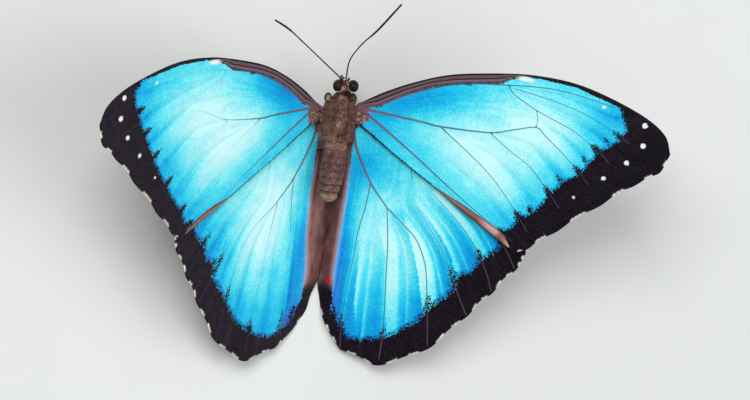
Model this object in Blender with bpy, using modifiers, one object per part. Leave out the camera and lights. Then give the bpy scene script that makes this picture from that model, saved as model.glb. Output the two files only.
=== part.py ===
"""Blue morpho butterfly, life size: the solids of a still model in its basking stance.

The butterfly is built in its own frame, in millimetres: x to its right, y forward, z up from
its back. A parent empty lifts and pitches that frame, so that the feet and the trailing edge of
the hindwings meet the floor at z = 0.
"""

import math
from dataclasses import dataclass

import bmesh
import bpy
from mathutils import Matrix, Vector

MM = 0.001
PARTS, CUTTERS = "blue_morpho_butterfly", "cutters"

# Stance
BODY_PITCH = math.radians(10.0)
BODY_ROLL = math.radians(-14.0)
HINGE_HEIGHT = 8.15
PLAN_CENTRE = (-0.56, -13.94)

# Body, as centre (x, y, z) and half sizes (across, along, up)
THORAX_CENTRE, THORAX_HALF = (0.0, 0.45, 1.7), (2.65, 5.0, 3.0)
ABDOMEN_CENTRE, ABDOMEN_HALF = (-0.12, -10.45, 2.6), (2.85, 7.3, 2.6)
HEAD_CENTRE, HEAD_HALF = (0.2, 7.15, 2.5), (1.7, 1.5, 1.65)
EYE_HALF, EYE_SPREAD = (1.2, 1.3, 1.45), 1.55
JOINT_GAP = 0.05

# Limbs
LEG_RADIUS, FEELER_RADIUS = 0.3, 0.26

# Wings
SHEET = 0.5
ROWS = 7
FOREWING_COSTA = (
    (1.2, 2.6), (5.7, 5.6), (11.9, 8.9), (19.0, 11.7), (27.0, 13.4),
    (36.0, 14.6), (45.4, 14.4), (54.0, 12.4), (61.7, 9.5), (66.0, 6.5),
)
FOREWING_TIPS = (
    (67.6, 2.8), (66.0, -1.4), (61.4, -4.9), (54.7, -10.6), (46.5, -17.7), (41.0, -22.5), (38.1, -24.1),
)
FOREWING_INNER = ((36.7, -22.9), (28.0, -18.0), (18.6, -12.3), (9.0, -6.8), (2.0, -2.4))
HINDWING_COSTA = (
    (0.8, 4.6), (5.0, 5.4), (12.0, 4.8), (22.0, 1.0), (31.0, -5.0), (38.0, -12.0), (40.6, -16.2),
)
HINDWING_TIPS = (
    (41.3, -18.5), (39.8, -22.4), (35.6, -28.3), (31.0, -34.3), (23.8, -42.9), (13.6, -48.5), (4.9, -46.2),
)
HINDWING_INNER_RIGHT = (
    (1.9, -42.5), (0.1, -39.5), (-1.4, -35.4), (-2.3, -32.3), (-2.4, -26.0), (-2.3, -16.0), (-1.2, -6.0),
)
HINDWING_INNER_LEFT = (
    (0.9, -43.1), (-1.4, -40.8), (-3.0, -38.4), (-3.6, -35.0), (-5.0, -31.0), (-5.1, -24.0), (-3.4, -12.0),
    (-1.4, -5.0),
)


@dataclass(frozen=True)
class Fold:
    """The bend along the body where a hindwing turns under the abdomen.

    Attributes:
        crease: how far from the hinge the crease runs, near the root and at the rear.
        turn: downward turn beyond the crease, near the root and at the rear, in degrees.
    """

    crease: tuple[float, float]
    turn: tuple[float, float]


@dataclass(frozen=True)
class Socket:
    """Where a wing plugs into the side of the thorax.

    Attributes:
        centre: middle of the plugged edge inside the thorax, for a right wing, in millimetres.
        half: its half length along the body.
    """

    centre: tuple[float, float, float]
    half: float


@dataclass(frozen=True)
class Wing:
    """One wing: its flat outline and how it is held.

    Attributes:
        side: 1 for the right wing and -1 for the left.
        hinge: where the root line crosses the hinge, in millimetres, for a right wing.
        raised: dihedral in degrees.
        swept: forward sweep in degrees.
        twisted: nose-up twist about the span in degrees.
        root: root line's distance inside the hinge and its half length.
        socket: where the short stub from the root line ends in the thorax.
        costa, tips, inner: leading edge, vein tips and trailing edge, as (span, forward) points.
        scallop: depth of the hollow between neighbouring vein tips.
        camber: height of the wing's gentle arch.
        fold: the fold along the body, or None.
        colour: base colour.
    """

    side: int
    hinge: tuple[float, float, float]
    raised: float
    swept: float
    twisted: float
    root: tuple[float, float]
    socket: Socket
    costa: tuple
    tips: tuple
    inner: tuple
    scallop: float
    camber: float
    fold: Fold | None
    colour: tuple[float, float, float]


MORPHO_BLUE = (0.01, 0.42, 0.78)
FOREWING_SOCKET = Socket((1.5, 1.3, 1.4), 1.1)
HINDWING_SOCKET = Socket((1.4, -1.7, 0.9), 2.0)
WINGS = {
    "forewing_right": Wing(
        1, (3.35, 1.27, 1.27), 28.9, 0.0, 0.0, (0.0, 1.3), FOREWING_SOCKET,
        FOREWING_COSTA, FOREWING_TIPS, FOREWING_INNER, 0.45, 0.4, None, MORPHO_BLUE,
    ),
    "forewing_left": Wing(
        -1, (4.75, 0.87, 1.27), 29.4, -0.4, 0.8, (1.4, 1.3), FOREWING_SOCKET,
        FOREWING_COSTA, FOREWING_TIPS, FOREWING_INNER, 0.45, 0.4, None, MORPHO_BLUE,
    ),
    "hindwing_right": Wing(
        1, (3.18, -4.25, 0.0), 27.3, 0.0, 0.0, (0.0, 3.0), HINDWING_SOCKET,
        HINDWING_COSTA, HINDWING_TIPS, HINDWING_INNER_RIGHT, 0.6, 0.3,
        Fold((1.3, 1.3), (18.0, 18.0)), MORPHO_BLUE,
    ),
    "hindwing_left": Wing(
        -1, (3.14, -4.43, -0.6), 28.3, 1.0, -1.5, (0.0, 3.0), HINDWING_SOCKET,
        HINDWING_COSTA, HINDWING_TIPS, HINDWING_INNER_LEFT, 0.6, 0.3,
        Fold((1.4, -1.2), (-8.0, -14.0)), MORPHO_BLUE,
    ),
}


def clear_scene():
    """Removes every object of the open scene."""
    for old in list(bpy.data.objects):
        bpy.data.objects.remove(old, do_unlink=True)


def material(name, colour, roughness=0.6, metallic=0.0):
    """Returns a new Principled material."""
    made = bpy.data.materials.new(name)
    made.use_nodes = True
    shader = made.node_tree.nodes["Principled BSDF"]
    shader.inputs["Base Color"].default_value = (*colour, 1.0)
    shader.inputs["Roughness"].default_value = roughness
    shader.inputs["Metallic"].default_value = metallic
    return made


def add_object(name, data, colour, roughness=0.6, metallic=0.0):
    """Puts data into the butterfly's collection, under the body's empty, with its own material."""
    obj = bpy.data.objects.new(name, data)
    data.materials.append(material(name + "_finish", colour, roughness, metallic))
    bpy.data.collections[PARTS].objects.link(obj)
    obj.parent = bpy.data.objects["body_frame"]
    return obj


def mesh_object(name, bm, colour, roughness=0.6, metallic=0.0):
    """Turns a bmesh in millimetres into an object."""
    bmesh.ops.scale(bm, vec=(MM, MM, MM), verts=bm.verts)
    bmesh.ops.recalc_face_normals(bm, faces=bm.faces)
    data = bpy.data.meshes.new(name)
    bm.to_mesh(data)
    bm.free()
    data.shade_smooth()
    return add_object(name, data, colour, roughness, metallic)


def smooth_through(points, steps):
    """Returns a Catmull-Rom curve through 2-D points, without the last point."""
    knots = [Vector(p) for p in points]
    knots = [2 * knots[0] - knots[1], *knots, 2 * knots[-1] - knots[-2]]
    curve = []
    for before, start, end, after in zip(knots, knots[1:], knots[2:], knots[3:]):
        for step in range(steps):
            u = step / steps
            curve.append(
                0.5 * (2 * start + (end - before) * u
                       + (2 * before - 5 * start + 4 * end - after) * u * u
                       + (3 * start - before - 3 * end + after) * u ** 3)
            )
    return curve


def outer_margin(tips, steps, depth):
    """Returns the scalloped edge through the vein tips, without the last tip."""
    edge = smooth_through(tips, steps)
    spans = len(tips) - 1
    for index, point in enumerate(edge):
        span, step = divmod(index, steps)
        along = Vector(tips[span + 1]) - Vector(tips[span])
        inward = Vector((along.y, -along.x)).normalized()
        hollow = depth * min(1.0, along.length / 7.0) * (0.4 if span == 0 else 1.0)
        edge[index] = point + inward * hollow * (1 - math.cos(2 * math.pi * step / steps)) / 2
    assert len(edge) == spans * steps
    return edge


def wing_margin(wing):
    """Returns the wing's edge from the front of its root round to the back, as flat points."""
    edge = smooth_through((*wing.costa, wing.tips[0]), 1)
    edge += outer_margin(wing.tips, 4, wing.scallop)
    return edge + [Vector(wing.tips[-1])] + [Vector(p) for p in wing.inner]


def blend(value, low, high):
    """Returns a smooth step from 0 at low to 1 at high."""
    u = min(1.0, max(0.0, (value - low) / (high - low)))
    return u * u * (3 - 2 * u)


def folded(wing, span, forward):
    """Returns the flat point after the fold along the body: (span, forward, height)."""
    if wing.fold is None:
        return span, forward, 0.0
    rear = blend(-forward, 8.0, 30.0)
    crease = wing.fold.crease[0] * (1 - rear) + wing.fold.crease[1] * rear
    turn = math.radians(wing.fold.turn[0] * (1 - rear) + wing.fold.turn[1] * rear)
    turn *= blend(-forward, 2.0, 7.0) * (1 - blend(-forward, 36.0, 42.0))
    beyond = max(0.0, crease - span)
    return span + beyond * (1 - math.cos(turn)), forward, -beyond * math.sin(turn)


def wing_point(wing, flat):
    """Returns a flat wing point's place in the body's frame, in millimetres."""
    span, forward, height = folded(wing, flat.x, flat.y)
    height += wing.camber * blend(span, 0.0, 20.0) * (1 - ((forward + 4.0) / 20.0) ** 2)
    place = Matrix.Rotation(-math.radians(wing.raised), 3, "Y")
    place = place @ Matrix.Rotation(math.radians(wing.twisted), 3, "X")
    place = place @ Matrix.Rotation(math.radians(wing.swept), 3, "Z")
    point = Vector(wing.hinge) + place @ Vector((span, forward, height))
    return Vector((wing.side * point.x, point.y, point.z))


def socket_point(wing, place):
    """Returns a point of the edge plugged into the thorax; place runs from 0, front, to 1, rear."""
    x, y, z = wing.socket.centre
    return Vector((wing.side * x, y + wing.socket.half * (1 - 2 * place), z))


def add_wing(name, wing):
    """Adds a wing: a stub from its socket, then a grid from the root line out to the margin."""
    edge = wing_margin(wing)
    columns = len(edge) - 1
    bm = bmesh.new()
    bmesh.ops.create_grid(bm, x_segments=columns, y_segments=ROWS + 1, size=0.5)
    reach, half = wing.root
    for vert in bm.verts:
        column = round((vert.co.x + 0.5) * columns)
        row = round((vert.co.y + 0.5) * (ROWS + 1))
        if row == 0:
            vert.co = socket_point(wing, column / columns)
            continue
        root = Vector((-reach, half * (1 - 2 * column / columns)))
        vert.co = wing_point(wing, root.lerp(edge[column], (row - 1) / ROWS))
    obj = mesh_object(name, bm, wing.colour, 0.35)
    thick = obj.modifiers.new("sheet", "SOLIDIFY")
    thick.thickness = SHEET * MM
    thick.offset = 0.0
    return obj


def add_lobe(name, centre, half, colour, blunt=(1.0, 1.0), segments=(20, 14), rings=None, roughness=0.8):
    """Adds a rounded body piece that lies along y.

    Args:
        centre, half: its middle and half sizes (across, along, up), in millimetres.
        blunt: how full its rear and front ends are; 1 is an ellipsoid and less is fuller.
        segments: points round it and along it.
        rings: function from the place along it, -1 to 1, to a factor on its girth.
    """
    bm = bmesh.new()
    bmesh.ops.create_uvsphere(bm, u_segments=segments[0], v_segments=segments[1], radius=1.0)
    for vert in bm.verts:
        along = vert.co.z
        round_part = Vector((vert.co.x, vert.co.y))
        if round_part.length > 1e-6:
            fullness = blunt[1] if along > 0 else blunt[0]
            round_part *= round_part.length ** (fullness - 1)
        girth = rings(along) if rings else 1.0
        vert.co = (round_part.x * half[0] * girth, along * half[1], -round_part.y * half[2] * girth)
    bmesh.ops.rotate(bm, cent=(0, 0, 0), matrix=Matrix.Rotation(BODY_ROLL, 3, "Y"), verts=bm.verts)
    bmesh.ops.translate(bm, vec=centre, verts=bm.verts)
    return mesh_object(name, bm, colour, roughness)


def add_tube(name, route, radii, colour, roughness=0.7):
    """Adds a limb or feeler: a tube along a route in millimetres that thins as radii say."""
    path = bpy.data.curves.new(name, "CURVE")
    path.dimensions = "3D"
    path.bevel_depth = 1.0
    path.bevel_resolution = 2
    path.use_fill_caps = True
    spline = path.splines.new("POLY")
    spline.points.add(len(route) - 1)
    for point, place, radius in zip(spline.points, route, radii):
        point.co = (*place, 1.0)
        point.radius = radius
    swept = bpy.data.objects.new(name + "_path", path)
    bm = bmesh.new()
    bm.from_mesh(swept.to_mesh())
    bmesh.ops.remove_doubles(bm, verts=bm.verts, dist=0.001)
    swept.to_mesh_clear()
    bpy.data.objects.remove(swept)
    return mesh_object(name, bm, colour, roughness)


def trim(obj, cutter):
    """Cuts obj back by a hidden cutter."""
    cut = obj.modifiers.new("trim_" + cutter.name, "BOOLEAN")
    cut.operation = "DIFFERENCE"
    cut.solver = "EXACT"
    cut.object = cutter


def as_cutter(obj):
    """Hides a helper that only cuts other pieces and moves it to the cutters' collection."""
    for collection in list(obj.users_collection):
        collection.objects.unlink(obj)
    bpy.data.collections[CUTTERS].objects.link(obj)
    obj.hide_render = True
    obj.display_type = "WIRE"
    return obj


def mirrored(route, side):
    """Returns a right-hand route on the given side."""
    return [(side * x, y, z) for x, y, z in route]


def floor_level(forward):
    """Returns the height in the body's frame where the floor lies at this forward distance."""
    return -(HINGE_HEIGHT + forward * math.sin(BODY_PITCH)) / math.cos(BODY_PITCH)


def abdomen_girth(along):
    """Returns the abdomen's girth from tip (-1) to waist (1), with its ring grooves."""
    taper = 1.0 - 0.18 * blend(-along, 0.1, 1.0)
    return taper * (1 + 0.012 * math.cos(7 * math.pi * along))


def thorax_girth(along):
    """Returns the thorax's girth, narrower at the neck."""
    return 1.0 - 0.22 * blend(along, 0.35, 1.0)


def clearance(centre, half, gap):
    """Returns half sizes grown by a gap, for a cutter that leaves that gap."""
    return centre, tuple(size + gap for size in half)


def add_body():
    """Adds head, thorax, abdomen and eyes, each cut back where the next one begins."""
    brown = (0.12, 0.075, 0.055)
    thorax = add_lobe("thorax", THORAX_CENTRE, THORAX_HALF, brown, (0.42, 0.8), rings=thorax_girth)
    centre, half = clearance(THORAX_CENTRE, THORAX_HALF, JOINT_GAP)
    thorax_cutter = as_cutter(add_lobe("thorax_cutter", centre, half, brown, (0.42, 0.8), rings=thorax_girth))
    abdomen = add_lobe(
        "abdomen", ABDOMEN_CENTRE, ABDOMEN_HALF, (0.14, 0.09, 0.065), (0.5, 0.45), (20, 22), abdomen_girth
    )
    trim(abdomen, thorax_cutter)
    head = add_lobe("head", HEAD_CENTRE, HEAD_HALF, (0.09, 0.05, 0.035), (0.8, 0.9))
    trim(head, thorax_cutter)
    centre, half = clearance(HEAD_CENTRE, HEAD_HALF, JOINT_GAP)
    head_cutter = as_cutter(add_lobe("head_cutter", centre, half, brown, (0.8, 0.9)))
    for side, word in ((1, "right"), (-1, "left")):
        offset = Matrix.Rotation(BODY_ROLL, 3, "Y") @ Vector((side * EYE_SPREAD, 0.0, 0.15))
        place = Vector(HEAD_CENTRE) + offset
        add_lobe("eye_" + word, place, EYE_HALF, (0.01, 0.01, 0.012), (1, 1), (16, 10), roughness=0.15)
        place, half = clearance(place, EYE_HALF, JOINT_GAP)
        cutter = as_cutter(add_lobe(f"eye_{word}_cutter", place, half, brown, (1, 1), (16, 10)))
        trim(head, cutter)
        trim(thorax, cutter)
    return thorax_cutter, head_cutter


def add_feelers(head_cutter):
    """Adds antennae, palps and the coiled proboscis."""
    dark = (0.02, 0.017, 0.012)
    right = [
        (-0.15, 8.0, 3.0), (-0.35, 9.6, 3.6), (-0.73, 13.6, 5.2),
        (0.96, 17.4, 6.4), (3.7, 20.9, 7.4), (7.6, 27.0, 8.8),
    ]
    left = [
        (-0.9, 7.9, 3.0), (-1.5, 9.1, 3.7), (-6.2, 12.6, 5.3),
        (-12.9, 17.5, 7.0), (-16.3, 19.9, 7.6), (-19.6, 21.6, 8.0),
    ]
    radii = [FEELER_RADIUS] * 4 + [FEELER_RADIUS * 1.15] * 2
    for word, route in (("right", right), ("left", left)):
        trim(add_tube("antenna_" + word, route, radii, dark), head_cutter)
    for side, word in ((1, "right"), (-1, "left")):
        route = mirrored([(0.62, 7.6, 1.5), (0.78, 8.5, 1.45), (0.68, 8.95, 2.2), (0.5, 9.25, 2.75)], side)
        route = [(x + HEAD_CENTRE[0], y, z) for x, y, z in route]
        trim(add_tube("palp_" + word, route, (0.36, 0.36, 0.32, 0.26), (0.1, 0.06, 0.04)), head_cutter)
    turns = [math.radians(angle) for angle in range(100, 100 + 421, 30)]
    coil = []
    for turn in turns:
        reach = 1.2 - 0.75 * (turn - turns[0]) / (turns[-1] - turns[0])
        coil.append((HEAD_CENTRE[0], 8.15 + reach * math.cos(turn), -0.35 + reach * math.sin(turn)))
    coil.insert(0, (HEAD_CENTRE[0], 7.5, 1.6))
    trim(add_tube("proboscis", coil, [0.25] * len(coil), (0.05, 0.03, 0.02)), head_cutter)


def add_legs(thorax_cutter, floor_cutter):
    """Adds the walking legs, with feet flat on the floor, and the small folded forelegs."""
    brown = (0.07, 0.045, 0.03)
    ground = LEG_RADIUS * 0.62
    walking = {
        "midleg": [(1.3, 0.9, -0.6), (5.2, 1.4, -2.6), (8.2, 1.4, None), (11.4, 1.2, None)],
        "hindleg": [(1.2, -2.0, -0.6), (5.2, -4.8, -2.6), (8.2, -9.0, None), (10.8, -12.8, None)],
    }
    for name, joints in walking.items():
        route = []
        for x, y, z in joints:
            route.append((x, y, floor_level(y) + ground if z is None else z))
        for side, word in ((1, "right"), (-1, "left")):
            radii = (LEG_RADIUS, LEG_RADIUS, LEG_RADIUS * 0.85, LEG_RADIUS * 0.85)
            leg = add_tube(f"{name}_{word}", mirrored(route, side), radii, brown)
            trim(leg, thorax_cutter)
            trim(leg, floor_cutter)
    for side, word in ((1, "right"), (-1, "left")):
        route = mirrored([(0.5, 2.6, -0.3), (0.6, 3.6, -2.0), (0.5, 2.2, -2.9)], side)
        trim(add_tube("foreleg_" + word, route, (0.32, 0.3, 0.26), brown), thorax_cutter)


def add_floor_cutter():
    """Adds the hidden block under the floor that flattens what stands on it."""
    bpy.ops.mesh.primitive_cube_add(size=1.0, location=(0.0, 0.0, -5.0 * MM), scale=(0.2, 0.2, 10.0 * MM))
    block = bpy.context.active_object
    block.name = "floor_cutter"
    return as_cutter(block)


def main():
    """Builds the butterfly."""
    clear_scene()
    for name in (PARTS, CUTTERS):
        bpy.context.scene.collection.children.link(bpy.data.collections.new(name))
    frame = bpy.data.objects.new("body_frame", None)
    bpy.data.collections[PARTS].objects.link(frame)
    frame.location = (-PLAN_CENTRE[0] * MM, -PLAN_CENTRE[1] * MM, HINGE_HEIGHT * MM)
    frame.rotation_euler = (BODY_PITCH, 0.0, 0.0)
    floor_cutter = add_floor_cutter()
    thorax_cutter, head_cutter = add_body()
    add_feelers(head_cutter)
    add_legs(thorax_cutter, floor_cutter)
    for name, wing in WINGS.items():
        sheet = add_wing(name, wing)
        trim(sheet, thorax_cutter)
        if name.startswith("hindwing"):
            trim(sheet, floor_cutter)


main()
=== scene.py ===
"""Blue morpho butterfly: the looks of a life-size still model, dressed over its solid parts.

Sizes are in millimetres in the butterfly's own frame (x to its right, y forward, z up from its
back) until a mesh is made, when they turn into metres in the frame of the solid parts.
"""

import logging
import math
from dataclasses import dataclass, field, replace
from enum import Enum

import bpy
import numpy as np
from mathutils import Matrix, Vector
from mathutils.geometry import delaunay_2d_cdt


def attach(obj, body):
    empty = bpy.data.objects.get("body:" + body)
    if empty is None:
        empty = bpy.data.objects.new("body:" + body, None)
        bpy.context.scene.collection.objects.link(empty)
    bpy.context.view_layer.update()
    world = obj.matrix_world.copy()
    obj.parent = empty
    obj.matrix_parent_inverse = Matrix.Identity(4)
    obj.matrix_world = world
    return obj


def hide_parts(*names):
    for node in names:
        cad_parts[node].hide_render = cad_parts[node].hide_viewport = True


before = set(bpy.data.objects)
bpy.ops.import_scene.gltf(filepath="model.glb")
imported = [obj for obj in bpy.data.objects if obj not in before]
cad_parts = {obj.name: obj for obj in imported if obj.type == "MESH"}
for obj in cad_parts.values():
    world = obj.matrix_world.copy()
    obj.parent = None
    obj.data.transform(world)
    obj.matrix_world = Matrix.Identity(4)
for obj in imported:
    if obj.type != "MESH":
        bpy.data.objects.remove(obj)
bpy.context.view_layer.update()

Array = np.ndarray
Point = tuple[float, float, float]
Line = tuple[tuple[float, float], ...]
Faces = list[tuple[int, ...]]
Socket = bpy.types.NodeSocket

LOG = logging.getLogger("blue_morpho")
MM = 0.001
TINY = 1e-9

# The stance: pitch and roll of the body, the frame's height over the floor, and the middle of the
# whole butterfly's plan.
BODY_PITCH = math.radians(10.0)
BODY_ROLL = math.radians(-14.0)
HINGE_HEIGHT = 8.15
PLAN_CENTRE = (-0.56, -13.94)

SHEET_HALF = 0.07  # half the thickness of a wing
BODY_AXIS = 2.2  # height of the body's middle
CHITIN_IOR = 1.56


class Side(Enum):
    """Which side of the body a piece is on, as the sign of x."""

    RIGHT = 1
    LEFT = -1

    @property
    def word(self) -> str:
        """Returns the side's name in piece names."""
        return self.name.lower()


# --- Numbers and points ---


def linear(code: str) -> tuple[float, float, float, float]:
    """Turns an sRGB hex colour into linear light.

    Args:
        code: six hex digits, such as "22a2e1".

    Returns:
        Red, green, blue and alpha in linear light.
    """
    parts = [int(code[place:place + 2], 16) / 255 for place in (0, 2, 4)]
    light = [p / 12.92 if p <= 0.04045 else ((p + 0.055) / 1.055) ** 2.4 for p in parts]
    return (*light, 1.0)


def smooth_step(value: Array, low: float, high: float) -> Array:
    """Returns a smooth step from 0 at low to 1 at high."""
    share = np.clip((value - low) / (high - low), 0.0, 1.0)
    return share * share * (3 - 2 * share)


def bell(value: Array, centre: float, width: float) -> Array:
    """Returns a bell curve of height 1 about a centre."""
    return np.exp(-(((value - centre) / width) ** 2))


def unit(vectors: Array) -> Array:
    """Returns vectors scaled to length 1."""
    return vectors / np.maximum(np.linalg.norm(vectors, axis=1), TINY)[:, None]


def away(points: Array, a: float, b: float) -> Array:
    """Returns the distances of flat points from the place (a, b)."""
    return np.hypot(points[:, 0] - a, points[:, 1] - b)


def smooth_through(points: Line, steps: int) -> Array:
    """Returns a Catmull-Rom curve through points of any dimension.

    Args:
        points: the points it passes through.
        steps: points made for each span.

    Returns:
        The curve's points, without the last one.
    """
    knots = np.array(points, float)
    knots = np.vstack([2 * knots[0] - knots[1], knots, 2 * knots[-1] - knots[-2]])
    share = (np.arange(steps) / steps)[:, None]
    spans = []
    for before, start, end, after in zip(knots, knots[1:], knots[2:], knots[3:]):
        spans.append(
            0.5 * (2 * start + (end - before) * share
                   + (2 * before - 5 * start + 4 * end - after) * share ** 2
                   + (3 * start - before - 3 * end + after) * share ** 3)
        )
    return np.vstack(spans)


def smooth_line(points: Line, steps: int) -> Array:
    """Returns the same curve with its last point."""
    return np.vstack([smooth_through(points, steps), np.array([points[-1]])])


def evenly(points: Array, gap: float) -> Array:
    """Returns a polyline's points spaced evenly, about gap apart, with both ends kept."""
    lengths = np.linalg.norm(np.diff(points, axis=0), axis=1)
    along = np.concatenate([[0.0], np.cumsum(lengths)])
    count = max(2, round(along[-1] / gap) + 1)
    places = np.linspace(0.0, along[-1], count)
    return np.stack([np.interp(places, along, column) for column in points.T], axis=1)


def nearest_on(points: Array, line: Array) -> tuple[Array, Array]:
    """Measures points against a polyline.

    Args:
        points: N flat points.
        line: the polyline's points.

    Returns:
        Each point's distance, and how far along the line its nearest place lies, in millimetres.
    """
    start, step = line[:-1], np.diff(line, axis=0)
    size = np.maximum((step ** 2).sum(1), 1e-12)
    lengths = np.sqrt(size)
    before = np.concatenate([[0.0], np.cumsum(lengths)[:-1]])
    best = np.full(len(points), np.inf)
    along = np.zeros(len(points))
    for first, move, square, length, passed in zip(start, step, size, lengths, before):
        share = np.clip(((points - first) @ move) / square, 0.0, 1.0)
        apart = np.linalg.norm(points - first - share[:, None] * move, axis=1)
        closer = apart < best
        best[closer] = apart[closer]
        along[closer] = passed + share[closer] * length
    return best, along


def inside(points: Array, loop: Array) -> Array:
    """Returns which flat points lie inside a closed loop."""
    found = np.zeros(len(points), bool)
    for (x0, y0), (x1, y1) in zip(loop, np.roll(loop, -1, axis=0)):
        if y0 == y1:
            continue
        crosses = (points[:, 1] < y0) != (points[:, 1] < y1)
        meets = x0 + (points[:, 1] - y0) * (x1 - x0) / (y1 - y0)
        found ^= crosses & (points[:, 0] < meets)
    return found


def depth_in(points: Array, loop: Array) -> Array:
    """Returns how deep points lie inside a closed loop, negative outside it."""
    apart, _ = nearest_on(points, np.vstack([loop, loop[:1]]))
    return np.where(inside(points, loop), apart, -apart)


def rotation(angle: float, axis: str) -> Array:
    """Returns a rotation matrix for column vectors."""
    return np.array(Matrix.Rotation(angle, 3, axis))


ROLL = rotation(BODY_ROLL, "Y")


def to_world(points: Array) -> Array:
    """Turns points of the butterfly's own frame, in millimetres, into metres on the floor."""
    lifted = points @ rotation(BODY_PITCH, "X").T
    return (lifted + np.array([-PLAN_CENTRE[0], -PLAN_CENTRE[1], HINGE_HEIGHT])) * MM


def above_floor(points: Array, least: float) -> Array:
    """Raises points of the butterfly's own frame where they lie too low.

    Args:
        points: points in millimetres.
        least: how far above the floor each one has to be.

    Returns:
        The points.
    """
    short = np.maximum(0.0, least - to_world(points)[:, 2] / MM)
    return points + np.stack([0 * short, 0 * short, short / math.cos(BODY_PITCH)], 1)


# --- Meshes and nodes ---


@dataclass
class Finish:
    """A material being made: its nodes are added one by one with add.

    Attributes:
        name: what the real stuff is.
        roughness: how matt it is.
        ior: its index of refraction.
        gloss: how much of the mirror reflection that gives is left.
    """

    name: str
    roughness: float
    ior: float
    gloss: float = 0.5
    material: bpy.types.Material = field(init=False)

    def __post_init__(self) -> None:
        """Starts the material with its Principled shader."""
        self.material = bpy.data.materials.new(self.name)
        self.material.use_nodes = True
        self.shader = self.material.node_tree.nodes["Principled BSDF"]
        self.shader.inputs["Roughness"].default_value = self.roughness
        self.shader.inputs["IOR"].default_value = self.ior
        self.shader.inputs["Specular IOR Level"].default_value = self.gloss

    def add(
        self, kind: str, inputs: dict, out: int | str = 0, stops: tuple = (), **settings: str | bool
    ) -> Socket:
        """Adds a node with its settings and links.

        Args:
            kind: the node's type, without ShaderNode in front.
            inputs: socket name or number to a value, or to the output that feeds it.
            out: which of its outputs is wanted.
            stops: for a colour ramp, its (position, hex colour) stops.
            settings: the node's own properties.

        Returns:
            The wanted output.
        """
        tree = self.material.node_tree
        made = tree.nodes.new("ShaderNode" + kind)
        for label, value in settings.items():
            setattr(made, label, value)
        for key, value in inputs.items():
            if isinstance(value, Socket):
                tree.links.new(value, made.inputs[key])
            else:
                made.inputs[key].default_value = value
        for place, (position, code) in enumerate(stops):
            ramp = made.color_ramp.elements
            stop = ramp[place] if place < len(ramp) else ramp.new(position)
            stop.position = position
            stop.color = linear(code)
        return made.outputs[out]

    def end(
        self, colour: Socket, height: Socket | None = None, strength: float = 0.4,
        depth: float = 0.04,
    ) -> bpy.types.Material:
        """Links the colour and the relief.

        Args:
            colour: the output that gives the colour.
            height: the output that gives the relief.
            strength: how strongly the relief shows.
            depth: the relief's depth in millimetres.

        Returns:
            The finished material.
        """
        tree = self.material.node_tree
        tree.links.new(colour, self.shader.inputs["Base Color"])
        if height is not None:
            relief = {"Strength": strength, "Distance": depth * MM, "Height": height}
            bump = self.add("Bump", relief)
            tree.links.new(bump, self.shader.inputs["Normal"])
        return self.material


def show(name: str, data: bpy.types.ID) -> bpy.types.Object:
    """Puts a mesh, light or camera in the scene."""
    shown = bpy.data.objects.new(name, data)
    bpy.context.scene.collection.objects.link(shown)
    return shown


def make_piece(
    name: str, points: Array, faces: Faces, materials: list, nodes: tuple[str, ...],
    fields: dict[str, Array] | None = None, face_materials: list[int] | None = None,
) -> bpy.types.Object:
    """Makes a piece from points of the butterfly's frame and ties it to the solid parts.

    Args:
        name: the piece's name.
        points: its vertices in millimetres.
        faces: vertex numbers of each face.
        materials: its materials.
        nodes: the solid parts it stands for.
        fields: values carried at its vertices, one number or three each.
        face_materials: which material each face takes.

    Returns:
        The new object.
    """
    mesh = bpy.data.meshes.new(name)
    mesh.from_pydata(to_world(points).tolist(), [], faces)
    for label, values in (fields or {}).items():
        kind, key = ("FLOAT", "value") if values.ndim == 1 else ("FLOAT_VECTOR", "vector")
        layer = mesh.attributes.new(label, kind, "POINT")
        layer.data.foreach_set(key, values.astype(np.float32).ravel())
    for material in materials:
        mesh.materials.append(material)
    if face_materials is not None:
        mesh.polygons.foreach_set("material_index", face_materials)
    mesh.shade_smooth()
    mesh.update()
    piece = show(name, mesh)
    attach(piece, "root")
    if nodes:
        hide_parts(*nodes)
    LOG.info("%s: %d faces", name, len(faces))
    return piece


def closed_sheet(
    name: str, upper: Array, lower: Array, top: Faces, materials: list, nodes: tuple[str, ...],
    fields: dict[str, Array],
) -> bpy.types.Object:
    """Makes a piece of a wing from the two sides of a sheet, closed along its rim.

    Args:
        name: the piece's name.
        upper, lower: the points of its two sides, in the same order.
        top: faces of the upper side.
        materials: the first is for the upper side and the rim, the last for the lower side.
        nodes: the solid parts it stands for.
        fields: values carried at the points of each side.

    Returns:
        The new object.
    """
    count = len(upper)
    bottom = [tuple(count + corner for corner in face[::-1]) for face in top]
    seen = {(start, end) for face in top for start, end in zip(face, face[1:] + face[:1])}
    rims = [
        (end, start, count + start, count + end)
        for start, end in sorted(seen) if (end, start) not in seen
    ]
    which = [0] * len(top) + [len(materials) - 1] * len(bottom) + [0] * len(rims)
    doubled = {label: np.concatenate([found, found]) for label, found in fields.items()}
    return make_piece(
        name, np.vstack([upper, lower]), top + bottom + rims, materials, nodes,
        doubled, which,
    )


def ring_faces(rows: int, sides: int, flip: bool = False) -> Faces:
    """Joins rings of points into a closed surface.

    Args:
        rows: how many rings.
        sides: points in a ring.
        flip: whether the faces turn the other way.

    Returns:
        The faces, with a cap on the first ring and one on the last.
    """
    faces = []
    for row in range(rows - 1):
        low, high = row * sides, (row + 1) * sides
        for place in range(sides):
            beside = (place + 1) % sides
            faces.append((low + place, low + beside, high + beside, high + place))
    caps = [tuple(range(sides))[::-1], tuple((rows - 1) * sides + place for place in range(sides))]
    if flip:
        faces = [(face[0], *face[:0:-1]) for face in faces]
        caps = [cap[::-1] for cap in caps]
    return faces + caps


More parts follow.
